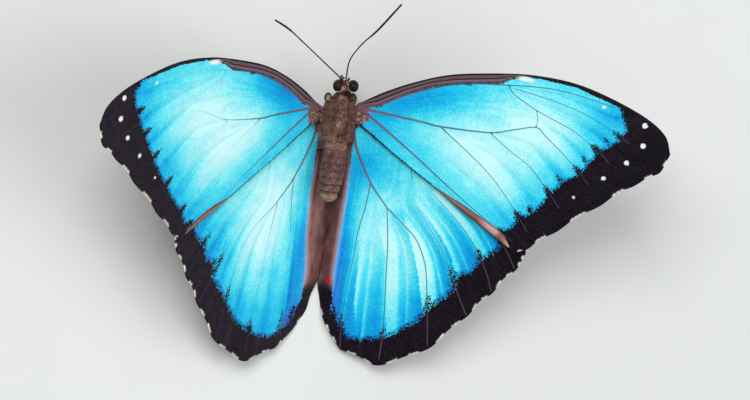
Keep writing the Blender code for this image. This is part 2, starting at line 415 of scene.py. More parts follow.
def tube_rings(route: Array, radii: Array, sides: int) -> tuple[Array, Faces]:
    """Makes a closed tube along a route.

    Args:
        route: centres of its rings.
        radii: the radius at each ring.
        sides: points in a ring.

    Returns:
        Its points and faces.
    """
    off_axis = [0.13, 0.21, 0.97]
    ahead = unit(np.gradient(route, axis=0))
    across = unit(np.cross(ahead, off_axis))
    above = np.cross(across, ahead)
    turn = 2 * math.pi * np.arange(sides) / sides
    cosine, sine = np.cos(turn)[None, :, None], np.sin(turn)[None, :, None]
    ring = across[:, None] * cosine + above[:, None] * sine
    points = (route[:, None] + ring * radii[:, None, None]).reshape(-1, 3)
    return points, ring_faces(len(route), sides)


def ball_mesh(rows: int, sides: int) -> tuple[Array, Faces]:
    """Makes a unit ball with its poles along y.

    Args:
        rows: rings of points from pole to pole.
        sides: points in a ring.

    Returns:
        Its points and faces.
    """
    pole = 0.02
    lean, turn = np.meshgrid(
        np.linspace(pole, math.pi - pole, rows), 2 * math.pi * np.arange(sides) / sides,
        indexing="ij",
    )
    ball = [np.sin(lean) * np.cos(turn), np.cos(lean), np.sin(lean) * np.sin(turn)]
    return np.stack(ball, -1).reshape(-1, 3), ring_faces(rows, sides)


# --- Finishes ---

# Node settings: first times second plus third, the same held between 0 and 1, and colours mixed.
SUM = {"operation": "MULTIPLY_ADD"}
HELD_SUM = {"operation": "MULTIPLY_ADD", "use_clamp": True}
COLOURS = {"data_type": "RGBA"}


@dataclass(frozen=True)
class WingScales:
    """Upper side of a wing: flat overlapping scales, iridescent blue in the field, black round it.

    The blue scales scatter a cyan and the black ones are matt velvet. The base colour carries
    painted
    sheen: the blue is painted paler, and the black lighter and mauve, where the wing is seen at a
    slant.
    Real scales are about 0.1 mm wide. They are drawn 0.2 mm wide, so that they show.

    Attributes:
        name: the material's name.
        fuzz: how far single scales stray over the edge of the field, in millimetres.
        streak: how strongly the blue changes from streak to streak.
        scale_size: how wide a scale is drawn.
    """

    name: str
    fuzz: float
    streak: float = 0.26
    scale_size: float = 0.2

    def build(self) -> bpy.types.Material:
        """Returns the material."""
        made = Finish(self.name, 0.45, CHITIN_IOR, 0.09)
        read = {
            label: made.add("Attribute", {}, "Fac", attribute_name=label) for label in (
                "field_depth", "vein", "tone", "violet", "spot", "stripe", "brown", "dash", "white",
                "crease", "near_root", "ruby", "fold", "rose", "fringe",
            )
        }
        plan, flow = (
            made.add("Attribute", {}, "Vector", attribute_name=label) for label in ("plan", "flow")
        )
        # painted sheen: how far the wing is seen at a slant, which pales the blue and lightens the
        # black
        slant = made.add("LayerWeight", {"Blend": 0.5}, "Facing")
        cells = {"Vector": plan, "Scale": 1 / self.scale_size, "Randomness": 0.85}
        relief = made.add("TexVoronoi", cells, "Distance")
        chance = made.add("SeparateColor", {0: made.add("TexVoronoi", cells, "Color")})
        chances = chance.node.outputs
        streaks, mottle, tangle = (
            made.add("TexNoise", {"Vector": at, "Scale": size, "Detail": fine, "Roughness": rough})
            for at, size, fine, rough in (
                (flow, 1.0, 4.0, 0.62), (plan, 0.35, 5.0, 0.6), (plan, 1.5, 6.0, 0.7),
            )
        )
        jitter, pull = (
            made.add("Math", {0: noise, 1: 0.5}, operation="SUBTRACT")
            for noise in (chances[0], streaks)
        )

        # The blue field, with single scales and whole streaks that stray over its edge
        strayed = read["field_depth"]
        for source, amount in ((jitter, self.fuzz), (pull, self.fuzz * 1.6)):
            strayed = made.add("Math", {0: source, 1: amount, 2: strayed}, **SUM)
        in_field = made.add("Math", {0: strayed, 1: 9.0, 2: 0.5}, **HELD_SUM)
        tone = read["tone"]
        # painted sheen: the blue is made paler where the wing is seen at a slant
        for source, amount in (
            (streaks, self.streak), (chances[1], 0.16), (mottle, 0.24), (slant, 0.1),
        ):
            tone = made.add("Math", {0: source, 1: amount, 2: tone}, **SUM)
        tone = made.add("Math", {0: tone, 1: 0.2 + self.streak / 2}, operation="SUBTRACT")
        blue = made.add("ValToRGB", {0: tone}, stops=(
            (0.0, "06327e"), (0.2, "0a74c4"), (0.36, "0898d8"), (0.5, "12b6e2"), (0.66, "44d6ea"),
            (0.8, "80e6ee"), (0.92, "aeeff2"), (1.0, "c8f5f6"),
        ))
        blue = made.add("Mix", {0: read["violet"], 6: blue, 7: linear("3f5fd0")}, 2, **COLOURS)

        # The black border, the hair along the body and at the root, and the leading stripe
        grain = made.add("Math", {0: streaks, 1: 0.5}, operation="MULTIPLY")
        # painted sheen: the black is made lighter and mauve where the wing is seen at a slant
        for source in (chances[2], slant):
            grain = made.add("Math", {0: source, 1: 0.5, 2: grain}, **SUM)
        border, hairs, tufted = (
            made.add("ValToRGB", {0: source}, stops=stops) for source, stops in (
                (grain, ((0.3, "06030a"), (0.6, "130b17"), (1.0, "352632"))),
                (streaks, ((0.34, "3a2425"), (0.5, "603e3c"), (0.64, "825e58"))),
                (tangle, ((0.38, "3a2528"), (0.5, "755450"), (0.62, "b4948e"))),
            )
        )
        ragged = made.add("Math", {0: pull, 1: 3.0, 2: read["brown"]}, **SUM)
        ragged = made.add("Math", {0: ragged, 1: 3.0, 2: -1.0}, **HELD_SUM)
        haired, in_stripe = (
            made.add("Math", {0: read[label], 1: least}, operation="GREATER_THAN")
            for label, least in (("brown", 0.05), ("stripe", 0.001))
        )
        haired = made.add("Math", {0: haired, 1: ragged}, operation="MULTIPLY")
        costa = made.add("ValToRGB", {0: read["stripe"]}, stops=(
            (0.0, "08060a"), (0.14, "0e0a0e"), (0.22, "6a5252"), (0.44, "5c4444"), (0.5, "181014"),
            (0.56, "141014"), (0.62, "7a6670"), (0.84, "55444c"), (0.92, "120c14"), (1.0, "0b080f"),
        ))

        # Folds, veins and spots
        at_fold = made.add("Math", {0: read["fold"], 1: -7.0, 2: 0.5}, **HELD_SUM)
        at_vein = made.add("Math", {0: read["vein"], 1: -11.0, 2: 0.9}, **HELD_SUM)
        at_fold, at_vein = (
            made.add("Math", {0: place, 1: share}, operation="MULTIPLY")
            for place, share in ((at_fold, in_field), (at_vein, 0.85))
        )
        vein = linear("574450")
        for where, code in ((in_field, "1d5f80"), (read["near_root"], "6b4f58")):
            vein = made.add("Mix", {0: where, 6: vein, 7: linear(code)}, 2, **COLOURS)
        spots = []
        for label, uneven, code in (("spot", 0.22, "e6e8f0"), ("ruby", 0.3, "d0141e")):
            drawn = made.add("Math", {0: jitter, 1: uneven, 2: read[label]}, **SUM)
            spots.append((made.add("Math", {0: drawn, 1: 6.0, 2: 0.3}, **HELD_SUM), linear(code)))

        colour = border
        for where, over in (
            (in_field, blue), (haired, tufted), (read["fringe"], hairs),
            (read["rose"], linear("b88488")), (in_stripe, costa), (read["white"], linear("e8ece8")),
            # the pale lavender along the crease is a painted highlight
            (read["crease"], linear("b3bfe6")), (at_fold, linear("1279b4")), (at_vein, vein),
            *spots, (read["dash"], linear("f6efdc")),
        ):
            colour = made.add("Mix", {0: where, 6: colour, 7: over}, 2, **COLOURS)
        return made.end(colour, relief, 0.3)


@dataclass(frozen=True)
class Underside:
    """Lower side of a wing: matt brown scales with pale marginal lines and ringed eyespots."""

    name: str = "brown_underside_scales"

    def build(self) -> bpy.types.Material:
        """Returns the material."""
        made = Finish(self.name, 0.7, CHITIN_IOR, 0.2)
        plan, flow = (
            made.add("Attribute", {}, "Vector", attribute_name=label) for label in ("plan", "flow")
        )
        ring, rim, vein = (
            made.add("Attribute", {}, "Fac", attribute_name=label)
            for label in ("eyespot", "rim", "vein")
        )
        streaks, cloud = (
            made.add("TexNoise", inputs) for inputs in (
                {"Vector": flow, "Scale": 1.4, "Detail": 5.0, "Roughness": 0.6},
                {"Vector": plan, "Scale": 0.16, "Detail": 4.0, "Distortion": 0.8},
            )
        )
        grain = made.add("TexVoronoi", {"Vector": plan, "Scale": 5.0}, "Distance")
        mixed = made.add("Math", {0: streaks, 1: 0.4}, operation="MULTIPLY")
        mixed = made.add("Math", {0: cloud, 1: 0.6, 2: mixed}, **SUM)
        ground = made.add("ValToRGB", {0: mixed}, stops=(
            (0.34, "2e1f16"), (0.46, "553d2a"), (0.54, "7a5d42"), (0.62, "5a412c"), (0.7, "8f7353"),
        ))
        lines = made.add("ValToRGB", {0: rim}, stops=(
            (0.0, "3a291d"), (0.07, "b79f79"), (0.11, "4a3526"), (0.2, "4a3526"), (0.24, "b89d72"),
            (0.3, "4f3928"),
        ))
        rings = made.add("ValToRGB", {0: ring}, stops=(
            (0.0, "efefe6"), (0.1, "efefe6"), (0.15, "0b0a0c"), (0.54, "14100f"), (0.6, "c09a3a"),
            (0.74, "cdae58"), (0.8, "2a1c14"), (0.95, "3a281c"),
        ))
        near_rim, on_spot = (
            made.add("Math", {0: source, 1: most}, operation="LESS_THAN")
            for source, most in ((rim, 0.34), (ring, 0.97))
        )
        at_vein = made.add("Math", {0: vein, 1: -8.0, 2: 0.8}, **HELD_SUM)
        colour = ground
        for where, over in ((near_rim, lines), (at_vein, linear("3a291e")), (on_spot, rings)):
            colour = made.add("Mix", {0: where, 6: colour, 7: over}, 2, **COLOURS)
        return made.end(colour, grain)


@dataclass(frozen=True)
class CurledScales:
    """Lower-side scales on the rolled edge of a forewing: satin rust brown, in part pale pink."""

    name: str = "curled_edge_brown_scales"

    def build(self) -> bpy.types.Material:
        """Returns the material."""
        made = Finish(self.name, 0.5, CHITIN_IOR)
        along, across = (
            made.add("Attribute", {}, "Fac", attribute_name=label) for label in ("along", "across")
        )
        place = made.add("Attribute", {}, "Vector", attribute_name="plan")
        streaks = made.add(
            "TexNoise", {"Vector": place, "Scale": 1.6, "Detail": 5.0, "Roughness": 0.65}
        )
        shift = made.add("Math", {0: streaks, 1: 0.12, 2: along}, **SUM)
        colour = made.add("ValToRGB", {0: shift}, stops=(
            (0.1, "6a4030"), (0.32, "a86048"), (0.58, "95483a"), (0.66, "cf9a96"), (0.78, "d4a29e"),
            (0.84, "8a4a44"), (0.94, "a8786a"), (1.06, "c09a84"),
        ))
        # painted shade: the colour is darkened towards both edges of the roll, most where it meets
        # the wing
        edge = made.add("ValToRGB", {0: across}, stops=(
            (0.0, "6a6a6a"), (0.16, "dcdcdc"), (0.6, "ffffff"), (0.8, "b8b8b8"), (1.0, "3a3a3a"),
        ))
        colour = made.add("Mix", {0: 1.0, 6: colour, 7: edge}, 2, blend_type="MULTIPLY", **COLOURS)
        return made.end(colour, streaks, 0.5, 0.06)


@dataclass(frozen=True)
class Hair:
    """Body scales and hair: matt brown strands, with tan ones where light hair gathers.

    Attributes:
        name: the material's name.
        dark, mid, light: its colours, from the deepest strands to the palest.
        contrast: how much the strands differ.
    """

    name: str
    dark: str = "261814"
    mid: str = "5c4038"
    light: str = "9c7762"
    contrast: float = 0.8

    def build(self) -> bpy.types.Material:
        """Returns the material."""
        made = Finish(self.name, 0.72, CHITIN_IOR, 0.2)
        shade, warm = (
            made.add("Attribute", {}, "Fac", attribute_name=label) for label in ("shade", "warm")
        )
        place = made.add("Attribute", {}, "Vector", attribute_name="place")
        strands = made.add(
            "TexNoise", {"Vector": place, "Scale": 1.7, "Detail": 6.0, "Roughness": 0.65}
        )
        sums = made.add("Math", {0: strands, 1: self.contrast, 2: shade}, **SUM)
        sums = made.add("Math", {0: sums, 1: 0.4 - self.contrast / 2}, operation="ADD")
        colour = made.add("ValToRGB", {0: sums}, stops=(
            (0.25, self.dark), (0.52, self.mid), (0.78, self.light), (1.0, "c3a488"),
        ))
        colour = made.add("Mix", {0: warm, 6: colour, 7: linear("6e2f1c")}, 2, **COLOURS)
        return made.end(colour, strands, 0.6, 0.08)


@dataclass(frozen=True)
class Cuticle:
    """Bare cuticle of eyes, feelers, legs and tongue: hard, smooth and dark, with a soft gloss.

    Attributes:
        name: the material's name.
        dark, light: its colours.
        roughness: how matt it is.
        grain: size of its facets or scales, in millimetres.
        gloss: how much of the mirror reflection is left.
    """

    name: str
    dark: str
    light: str
    roughness: float
    grain: float
    gloss: float = 0.4

    def build(self) -> bpy.types.Material:
        """Returns the material."""
        made = Finish(self.name, self.roughness, CHITIN_IOR, self.gloss)
        place = made.add("TexCoord", {}, "Object")
        fine = 1 / (self.grain * MM)
        cells = made.add("TexVoronoi", {"Vector": place, "Scale": fine}, "Distance")
        cloud = made.add("TexNoise", {"Vector": place, "Scale": 900.0, "Detail": 3.0})
        colour = made.add("ValToRGB", {0: cloud}, stops=((0.35, self.dark), (0.7, self.light)))
        return made.end(colour, cells, 0.3, 0.02)


# --- Wings ---


@dataclass(frozen=True)
class Fold:
    """The bend along the body where a hindwing turns under the abdomen.

    Attributes:
        crease: how far from the hinge the crease runs, near the root and at the rear.
        turn: downward turn beyond the crease, near the root and at the rear, in degrees.
    """

    crease: tuple[float, float] = (0.0, 0.0)
    turn: tuple[float, float] = (0.0, 0.0)


@dataclass(frozen=True)
class WingShape:
    """Flat outline of a pair of wings, as (span, forward) points for a right wing.

    Attributes:
        costa, tips, inner: leading edge, vein tips and trailing edge.
        scallop: depth of the hollow between vein tips.
        camber: height of the gentle arch.
        socket: middle and half length of the edge plugged into the thorax.
    """

    costa: Line
    tips: Line
    inner: Line
    scallop: float
    camber: float
    socket: tuple[Point, float]


@dataclass(frozen=True)
class Markings:
    """What a wing's upper and lower sides show.

    Attributes:
        blue: loop round the blue field.
        outer: the part of that loop that faces the black border.
        veins: each vein's route and its half width at the root end and at the tip.
        fan: the veins, in order, that the pleats and streaks follow.
        ripple: painted shade of the pleats, as how the blue changes across a cell, from one vein
            to the next, as (place, amount).
        fade: how far from the border the painted pleat shade starts to fade and where it is gone.
        base: the blue's tone, where 0 is deep and 1 is pale.
        patches: broad changes of the tone: centre, half sizes, slant in degrees and amount. The
            pale
        ones are painted sheen.
        spots: white spots, as (span, forward, radius).
        stripe: lower edge of the brown leading stripe.
        white: centre and half sizes of the white patch at the stripe's end.
        eyespots: on the lower side, as (span, forward, radius).
        dashes: shares of each hollow of the margin that carry cream fringe.
        tufts: places on the margin that carry one more cream dash each.
        ruby: red spot, as (span, forward, radius).
        folds: thin darker lines between veins.
        faint: how much thinner the veins are drawn away from the root.
        hair: middle and reach of the brown hair at the root.
        rear: where the brown fold along the body ends.
        pleat: height of the pleats between veins.
    """

    blue: Line
    outer: Line
    veins: tuple
    fan: tuple
    ripple: Line
    fade: tuple[float, float]
    base: float
    patches: tuple
    spots: tuple = ()
    stripe: Line = ()
    white: tuple = ()
    eyespots: tuple = ()
    dashes: tuple = ()
    tufts: Line = ()
    ruby: tuple = ()
    folds: tuple = ()
    faint: float = 0.0
    hair: tuple[float, float, float] = (0.0, 0.4, 4.1)
    rear: float = 0.0
    pleat: float = 0.12


@dataclass
class WingSheet:
    """One wing: a thin closed sheet in place of its solid part.

    Attributes:
        name: the solid part it replaces.
        side: which side of the body it is on.
        hinge: where its root line crosses the hinge, for a right wing.
        raised, swept, twisted: dihedral, forward sweep and nose-up twist in degrees.
        root: the root line's distance inside the hinge and its half length.
        shape: its outline.
        marks: its markings.
        fold: its bend along the body.
        grid: spacing of its points.
        stub: flat length drawn for the part that plugs into the thorax.
    """

    name: str
    side: Side
    hinge: Point
    raised: float
    swept: float
    twisted: float
    root: tuple[float, float]
    shape: WingShape
    marks: Markings
    fold: Fold = field(default_factory=Fold)
    grid: float = 0.36
    stub: float = 1.6

    def outline(self) -> tuple[Array, Array]:
        """Works out the wing's edge.

        Returns:
            The closed loop, and for each of its points the share of its hollow, or -1 where the
            edge has no hollows.
        """
        steps = 24
        costa = smooth_through((*self.shape.costa, self.shape.tips[0]), 10)
        outer = smooth_through(self.shape.tips, steps)
        share = np.tile(np.arange(steps) / steps, len(self.shape.tips) - 1)
        for place in range(len(outer)):
            span = place // steps
            along = np.subtract(self.shape.tips[span + 1], self.shape.tips[span])
            length = float(np.hypot(*along))
            inward = np.array([along[1], -along[0]]) / length
            hollow = self.shape.scallop * min(1.0, length / 7.0) * (0.4 if span == 0 else 1.0)
            outer[place] += inward * hollow * (1 - math.cos(2 * math.pi * share[place])) / 2
        rear = smooth_through((self.shape.tips[-1], *self.shape.inner), 10)
        reach, half = self.root
        end = -reach - self.stub
        stub = np.array([
            self.shape.inner[-1], (-reach, -half), (end, -half), (end, half), (-reach, half),
        ])
        loop = np.vstack([costa, outer, rear, stub])
        shares = np.full(len(loop), -1.0)
        shares[len(costa):len(costa) + len(outer)] = share
        return loop, shares

    def folded(self, span: Array, forward: Array) -> tuple[Array, Array]:
        """Returns the span and height of flat points after the fold along the body."""
        rear = smooth_step(-forward, 8.0, 30.0)
        crease = self.fold.crease[0] * (1 - rear) + self.fold.crease[1] * rear
        turn = np.radians(self.fold.turn[0] * (1 - rear) + self.fold.turn[1] * rear)
        turn = turn * smooth_step(-forward, 2.0, 7.0) * (1 - smooth_step(-forward, 36.0, 42.0))
        beyond = np.maximum(0.0, crease - span)
        return span + beyond * (1 - np.cos(turn)), -beyond * np.sin(turn)

    def place(self, flat: Array, lift: Array) -> Array:
        """Puts flat points of the wing in the butterfly's frame.

        Args:
            flat: (span, forward) points.
            lift: height of each above the wing's middle surface.

        Returns:
            Points in millimetres.
        """
        reach, half = self.root
        at_stub = (flat[:, 0] < -reach) & (np.abs(flat[:, 1]) < half + 1e-4)
        span, height = self.folded(np.where(at_stub, -reach, flat[:, 0]), flat[:, 1])
        arch = smooth_step(span, 0.0, 20.0) * (1 - ((flat[:, 1] + 4.0) / 20.0) ** 2)
        local = np.stack([span, flat[:, 1], height + self.shape.camber * arch + lift], axis=1)
        turned = rotation(-math.radians(self.raised), "Y")
        for angle, axis in ((self.twisted, "X"), (self.swept, "Z")):
            turned = turned @ rotation(math.radians(angle), axis)
        points = np.array(self.hinge) + local @ turned.T
        (x, y, z), socket_half = self.shape.socket
        along = y + socket_half * flat[:, 1] / half
        plugged = np.stack([np.full(len(flat), x), along, z + lift], axis=1)
        share = np.clip((-reach - flat[:, 0]) / self.stub, 0.0, 1.0)
        share = np.where(at_stub, share, 0.0)[:, None]
        points = points * (1 - share) + plugged * share
        return points * np.array([self.side.value, 1, 1])

    def lines(self) -> list[Array]:
        """Returns the veins, then the folds between them, as smooth flat lines."""
        routes = [route for route, _, _ in self.marks.veins] + list(self.marks.folds)
        return [smooth_line(route, 5) for route in routes]

    def mesh_flat(self, loop: Array) -> tuple[Array, Faces]:
        """Fills the outline with small even triangles that follow the veins and the spots.

        Args:
            loop: the closed outline.

        Returns:
            Flat points and triangles.
        """
        clear = self.grid * 0.4
        dots = (*self.marks.spots, *self.marks.ruby)
        lines = [evenly(line, self.grid) for line in self.lines()]
        lines = [line[depth_in(line, loop) > 0.15] for line in lines]
        turn = 2 * math.pi * np.arange(12) / 12
        circle = np.stack([np.cos(turn), np.sin(turn)], 1)
        rings = [
            np.array([(a, b)]) + size * radius * circle
            for a, b, radius in dots for size in (0.5, 1.0, 1.5)
        ]
        low, high = loop.min(0), loop.max(0)
        columns = np.arange(low[0], high[0], self.grid)
        inner = np.vstack([
            np.stack([columns + self.grid / 2 * (row % 2), np.full(len(columns), y)], 1)
            for row, y in enumerate(np.arange(low[1], high[1], self.grid * 0.866))
        ])
        inner = inner[depth_in(inner, loop) > clear]
        for line in lines:
            if len(line) > 1:
                inner = inner[nearest_on(inner, line)[0] > clear]
        for a, b, radius in dots:
            inner = inner[away(inner, a, b) > radius * 1.5 + 0.12]
        points = np.vstack([loop, *lines, inner, *rings])
        edges = []
        first = len(loop)
        for line in lines:
            edges += [(first + step, first + step + 1) for step in range(len(line) - 1)]
            first += len(line)
        found = delaunay_2d_cdt(
            [Vector(point) for point in points], edges, [tuple(range(len(loop)))], 1, 1e-5
        )
        return np.array([tuple(vert) for vert in found[0]]), [tuple(face) for face in found[2]]

    def dash(self, flat: Array, loop: Array, shares: Array, rim: Array) -> Array:
        """Works out where the margin carries cream fringe.

        Args:
            flat: the wing's flat points.
            loop: its outline.
            shares: the outline points' shares of their hollows.
            rim: the points' distances from the outline.

        Returns:
            1 in the fringe and 0 elsewhere.
        """
        lit = np.zeros(len(flat))
        close = np.flatnonzero(rim < 0.7)
        nearest = np.array([np.argmin(((loop - point) ** 2).sum(1)) for point in flat[close]])
        for low, high in self.marks.dashes:
            lit[close] = np.maximum(lit[close], (shares[nearest] > low) & (shares[nearest] < high))
        for a, b in self.marks.tufts:
            lit = np.maximum(lit, away(flat, a, b) < 0.75)
        return lit * (1 - smooth_step(rim, 0.14, 0.34))

    def tone(self, flat: Array, apart: list[Array], outer: Array, fan: Array) -> Array:
        """Works out how pale the blue is.

        Args:
            flat: the wing's flat points.
            apart: their distances from each vein.
            outer: their distances from the black border.
            fan: between which veins they lie.

        Returns:
            The tone at each point, where 0 is deep and 1 is pale.
        """
        marks = self.marks
        tone = np.full(len(flat), marks.base)
        # the pale ones among these broad changes are painted sheen
        for (a, b), (across, down), slant, amount in marks.patches:
            turned = (flat - (a, b)) @ rotation(math.radians(slant), "Z")[:2, :2]
            tone += amount * np.exp(-((turned[:, 0] / across) ** 2) - (turned[:, 1] / down) ** 2)
        low = np.clip(np.floor(fan).astype(int), 0, len(marks.fan) - 2)
        order = np.stack([apart[number] for number in marks.fan])
        here = np.arange(len(flat))
        share = order[low, here] / (order[low, here] + order[low + 1, here] + 1e-6)
        # painted pleat shade: the blue deepens and pales across each cell the way the pleats shade
        # it
        places, amounts = zip(*marks.ripple)
        tone += np.interp(share, places, amounts) * (1 - smooth_step(outer, *marks.fade))
        near, at_border = 1 - smooth_step(outer, 1.0, 8.0), 1 - smooth_step(outer, 0.0, 0.8)
        return tone - (0.12 * near + 0.16 * at_border)

    def stripe(self, flat: Array) -> Array:
        """Returns the place across the brown leading stripe, 0 off it."""
        if not self.marks.stripe:
            return np.zeros(len(flat))
        low_edge, _ = nearest_on(flat, np.array(self.marks.stripe, float))
        top_edge, _ = nearest_on(flat, smooth_through((*self.shape.costa, self.shape.tips[0]), 4))
        loop = np.vstack([np.array(self.shape.costa)[:6], np.array(self.marks.stripe)[::-1]])
        share = top_edge / np.maximum(top_edge + low_edge, 1e-6)
        return np.where(inside(flat, loop), np.clip(share, 0.002, 0.998), 0.0)

    def along_body(self, flat: Array, edge: Array) -> dict[str, Array]:
        """Works out the brown fold along the body and the tints beside it.

        Args:
            flat: the wing's flat points.
            edge: how deep they lie in the blue field.

        Returns:
            Values by name, 0 on a wing without the fold.
        """
        if not self.marks.rear:
            return {label: np.zeros(len(flat)) for label in ("fringe", "rose", "crease", "violet")}
        back = -flat[:, 1]
        inward = 1 - smooth_step(flat[:, 0], 2.6, 4.0)
        ahead = 1 - smooth_step(back, self.marks.rear - 2.0, self.marks.rear + 1.0)
        fringe = inward * ahead * (1 - smooth_step(edge, -0.3, 0.0))
        return {
            "fringe": fringe,
            "rose": bell(edge, -0.45, 0.4) * inward * smooth_step(back, 2.0, 8.0) * fringe * 0.8,
            # crease: a painted highlight, a pale line along the crease beside the body
            "crease": bell(edge, 0.0, 0.2) * inward * smooth_step(back, 4.0, 9.0) * 0.7 * ahead,
            "violet": bell(edge, 0.0, 1.5) * inward * smooth_step(back, 14.0, 30.0) * 0.55,
        }

    def fields(self, flat: Array, loop: Array, shares: Array) -> dict[str, Array]:
        """Works out what the finishes read at each point.

        Args:
            flat: the wing's flat points.
            loop: its outline.
            shares: the outline points' shares of their hollows.

        Returns:
            Values by name.
        """
        marks, count, far = self.marks, len(flat), 9.0
        lines, out = self.lines(), away(flat, 0.0, 0.0)
        thinner = marks.faint * smooth_step(out, 12.0, 28.0)
        apart, gaps = [], []
        for line, (_, start, end) in zip(lines, marks.veins):
            length = np.linalg.norm(np.diff(line, axis=0), axis=1).sum()
            distance, along = nearest_on(flat, line)
            gaps.append(distance - (start + (end - start) * np.sqrt(along / length)) + thinner)
            apart.append(distance)
        crinkle = np.full(count, far)
        for line in lines[len(marks.veins):]:
            crinkle = np.minimum(crinkle, nearest_on(flat, line)[0])
        weights = [1 / (apart[number] + 0.05) ** 3 for number in marks.fan]
        fan = sum(place * weight for place, weight in enumerate(weights)) / sum(weights)
        rim, _ = nearest_on(flat, np.vstack([loop, loop[:1]]))
        outer, _ = nearest_on(flat, smooth_line(marks.outer, 4))

        # The border runs in along veins and folds, as wedges
        edge = depth = depth_in(flat, np.array(marks.blue, float))
        closing = 1 - smooth_step(outer, 0.0, 7.0)
        for beside, wedge in (*((apart[number], 0.8) for number in marks.fan), (crinkle, 0.5)):
            depth = np.minimum(depth, beside + 2.0 * (1 - closing) - wedge * closing)
        depth = depth * (1 + 3 * smooth_step(outer, 1.5, 4.0))

        white, ring = np.zeros(count), np.ones(count)
        for a, b, across, down in marks.white:
            oval = ((flat[:, 0] - a) / across) ** 2 + ((flat[:, 1] - b) / down) ** 2
            white = np.maximum(white, 1.4 - oval)
        spot, ruby = np.full((2, count), -far)
        for drawn, found in ((spot, marks.spots), (ruby, marks.ruby)):
            for a, b, radius in found:
                np.maximum(drawn, radius - away(flat, a, b), out=drawn)
        for a, b, radius in marks.eyespots:
            ring = np.minimum(ring, away(flat, a, b) / radius)
        a, b, reach = marks.hair
        zero = np.zeros(count)
        return {
            "plan": np.stack([flat[:, 0], flat[:, 1], zero + self.side.value * 50], 1),
            "flow": np.stack([fan * 3.2, out * 0.09, zero + self.side.value * 7], 1),
            "field_depth": depth, "vein": np.min(gaps, axis=0), "spot": spot, "ruby": ruby,
            "tone": self.tone(flat, apart, outer, fan), "stripe": self.stripe(flat), "white": white,
            "brown": 1 - smooth_step(away(flat, a, b), 0.6 * reach, reach), "eyespot": ring,
            "dash": self.dash(flat, loop, shares, rim), "rim": rim / 10.0, "fan": fan,
            "near_root": 1 - smooth_step(out, 9.0, 26.0), "fold": crinkle,
            **self.along_body(flat, edge),
        }

    def build(self, materials: list) -> bpy.types.Object:
        """Builds the wing and ties it to its solid part."""
        loop, shares = self.outline()
        flat, triangles = self.mesh_flat(loop)
        values = self.fields(flat, loop, shares)
        calm = smooth_step(values["rim"] * 10.0, 0.0, 1.5)
        pleats = self.marks.pleat * np.cos(2 * math.pi * values.pop("fan"))
        pleats = pleats * smooth_step(away(flat, 0.0, 0.0), 8.0, 30.0)
        ridge = 0.05 * bell(np.maximum(values["vein"], 0.0), 0.0, 0.25)
        lift = (pleats + ridge) * (0.35 + 0.65 * calm)
        upper = above_floor(self.place(flat, lift + SHEET_HALF), 2 * SHEET_HALF)
        lower = above_floor(self.place(flat, lift - SHEET_HALF), 0.0)
        top = [face[::-1] if self.side is Side.LEFT else face for face in triangles]
        return closed_sheet(
            self.name + "_sheet", upper, lower, top, materials, (self.name,), values
        )


@dataclass
class CurledEdge:
    """The strip of a forewing's rear edge that has rolled over, so that its brown lower side shows.

    Attributes:
        wing: the wing it lies on.
        stations: (span, forward, width) along the edge.
        warmth: what part of the finish's run of colours it shows.
        height: how high the roll stands.
    """

    wing: WingSheet
    stations: tuple
    warmth: tuple[float, float]
    height: float = 0.3

    def build(self, material: bpy.types.Material) -> bpy.types.Object:
        """Builds the strip as a closed half roll on the wing's upper side."""
        line = smooth_line(self.stations, 12)
        ahead = unit(np.gradient(line[:, :2], axis=0))
        inward = np.stack([-ahead[:, 1], ahead[:, 0]], 1)
        steps = np.linspace(0.0, 1.0, 9)
        width = np.maximum(line[:, 2], 0.02)
        flat = line[:, None, :2] + inward[:, None] * (width[:, None] * steps)[:, :, None]
        roll = np.minimum(self.height, width * 0.35)[:, None] * np.sin(math.pi * steps) ** 0.7
        rows, columns = roll.shape
        flat = flat.reshape(-1, 2)
        top = self.wing.place(flat, SHEET_HALF + 0.05 + roll.ravel())
        under = self.wing.place(flat, np.full(len(flat), SHEET_HALF - 0.05))
        corners = [row * columns + place for row in range(rows - 1) for place in range(columns - 1)]
        faces = [(corner, corner + columns, corner + columns + 1, corner + 1) for corner in corners]
        if self.wing.side is Side.RIGHT:
            faces = [face[::-1] for face in faces]
        along = np.repeat(np.linspace(*self.warmth, rows), columns)
        values = {
            "plan": np.stack([flat[:, 0] * 0.4, flat[:, 1] * 2.0, 0 * along], 1), "along": along,
            "across": np.tile(steps, rows),
        }
        name = f"forewing_{self.wing.side.word}_curled_edge"
        return closed_sheet(name, top, under, faces, [material], (), values)


FOREWING_SHAPE = WingShape(
    costa=(
        (1.2, 2.6), (5.7, 5.6), (11.9, 8.9), (19.0, 11.7), (27.0, 13.4),
        (36.0, 14.6), (45.4, 14.4), (54.0, 12.4), (61.7, 9.5), (66.0, 6.5),
    ),
    tips=(
        (67.6, 2.8), (66.0, -1.4), (61.4, -4.9), (54.7, -10.6), (46.5, -17.7), (41.0, -22.5),
        (38.1, -24.1),
    ),
    inner=((36.7, -22.9), (28.0, -18.0), (18.6, -12.3), (9.0, -6.8), (2.0, -2.6), (-0.4, -2.0)),
    scallop=0.45,
    camber=0.4,
    socket=((1.5, 1.3, 1.4), 1.1),
)
HINDWING_COSTA: Line = (
    (0.2, 4.8), (5.0, 5.4), (12.0, 4.8), (22.0, 1.0), (31.0, -5.0), (38.0, -12.0), (40.6, -16.2),
)
HINDWING_TIPS: Line = (
    (41.3, -18.5), (39.8, -22.4), (35.6, -28.3), (31.0, -34.3), (23.8, -42.9), (13.6, -48.5),
    (4.9, -46.2),
)
HINDWING_SOCKET = ((1.4, -3.3, 0.9), 3.6)
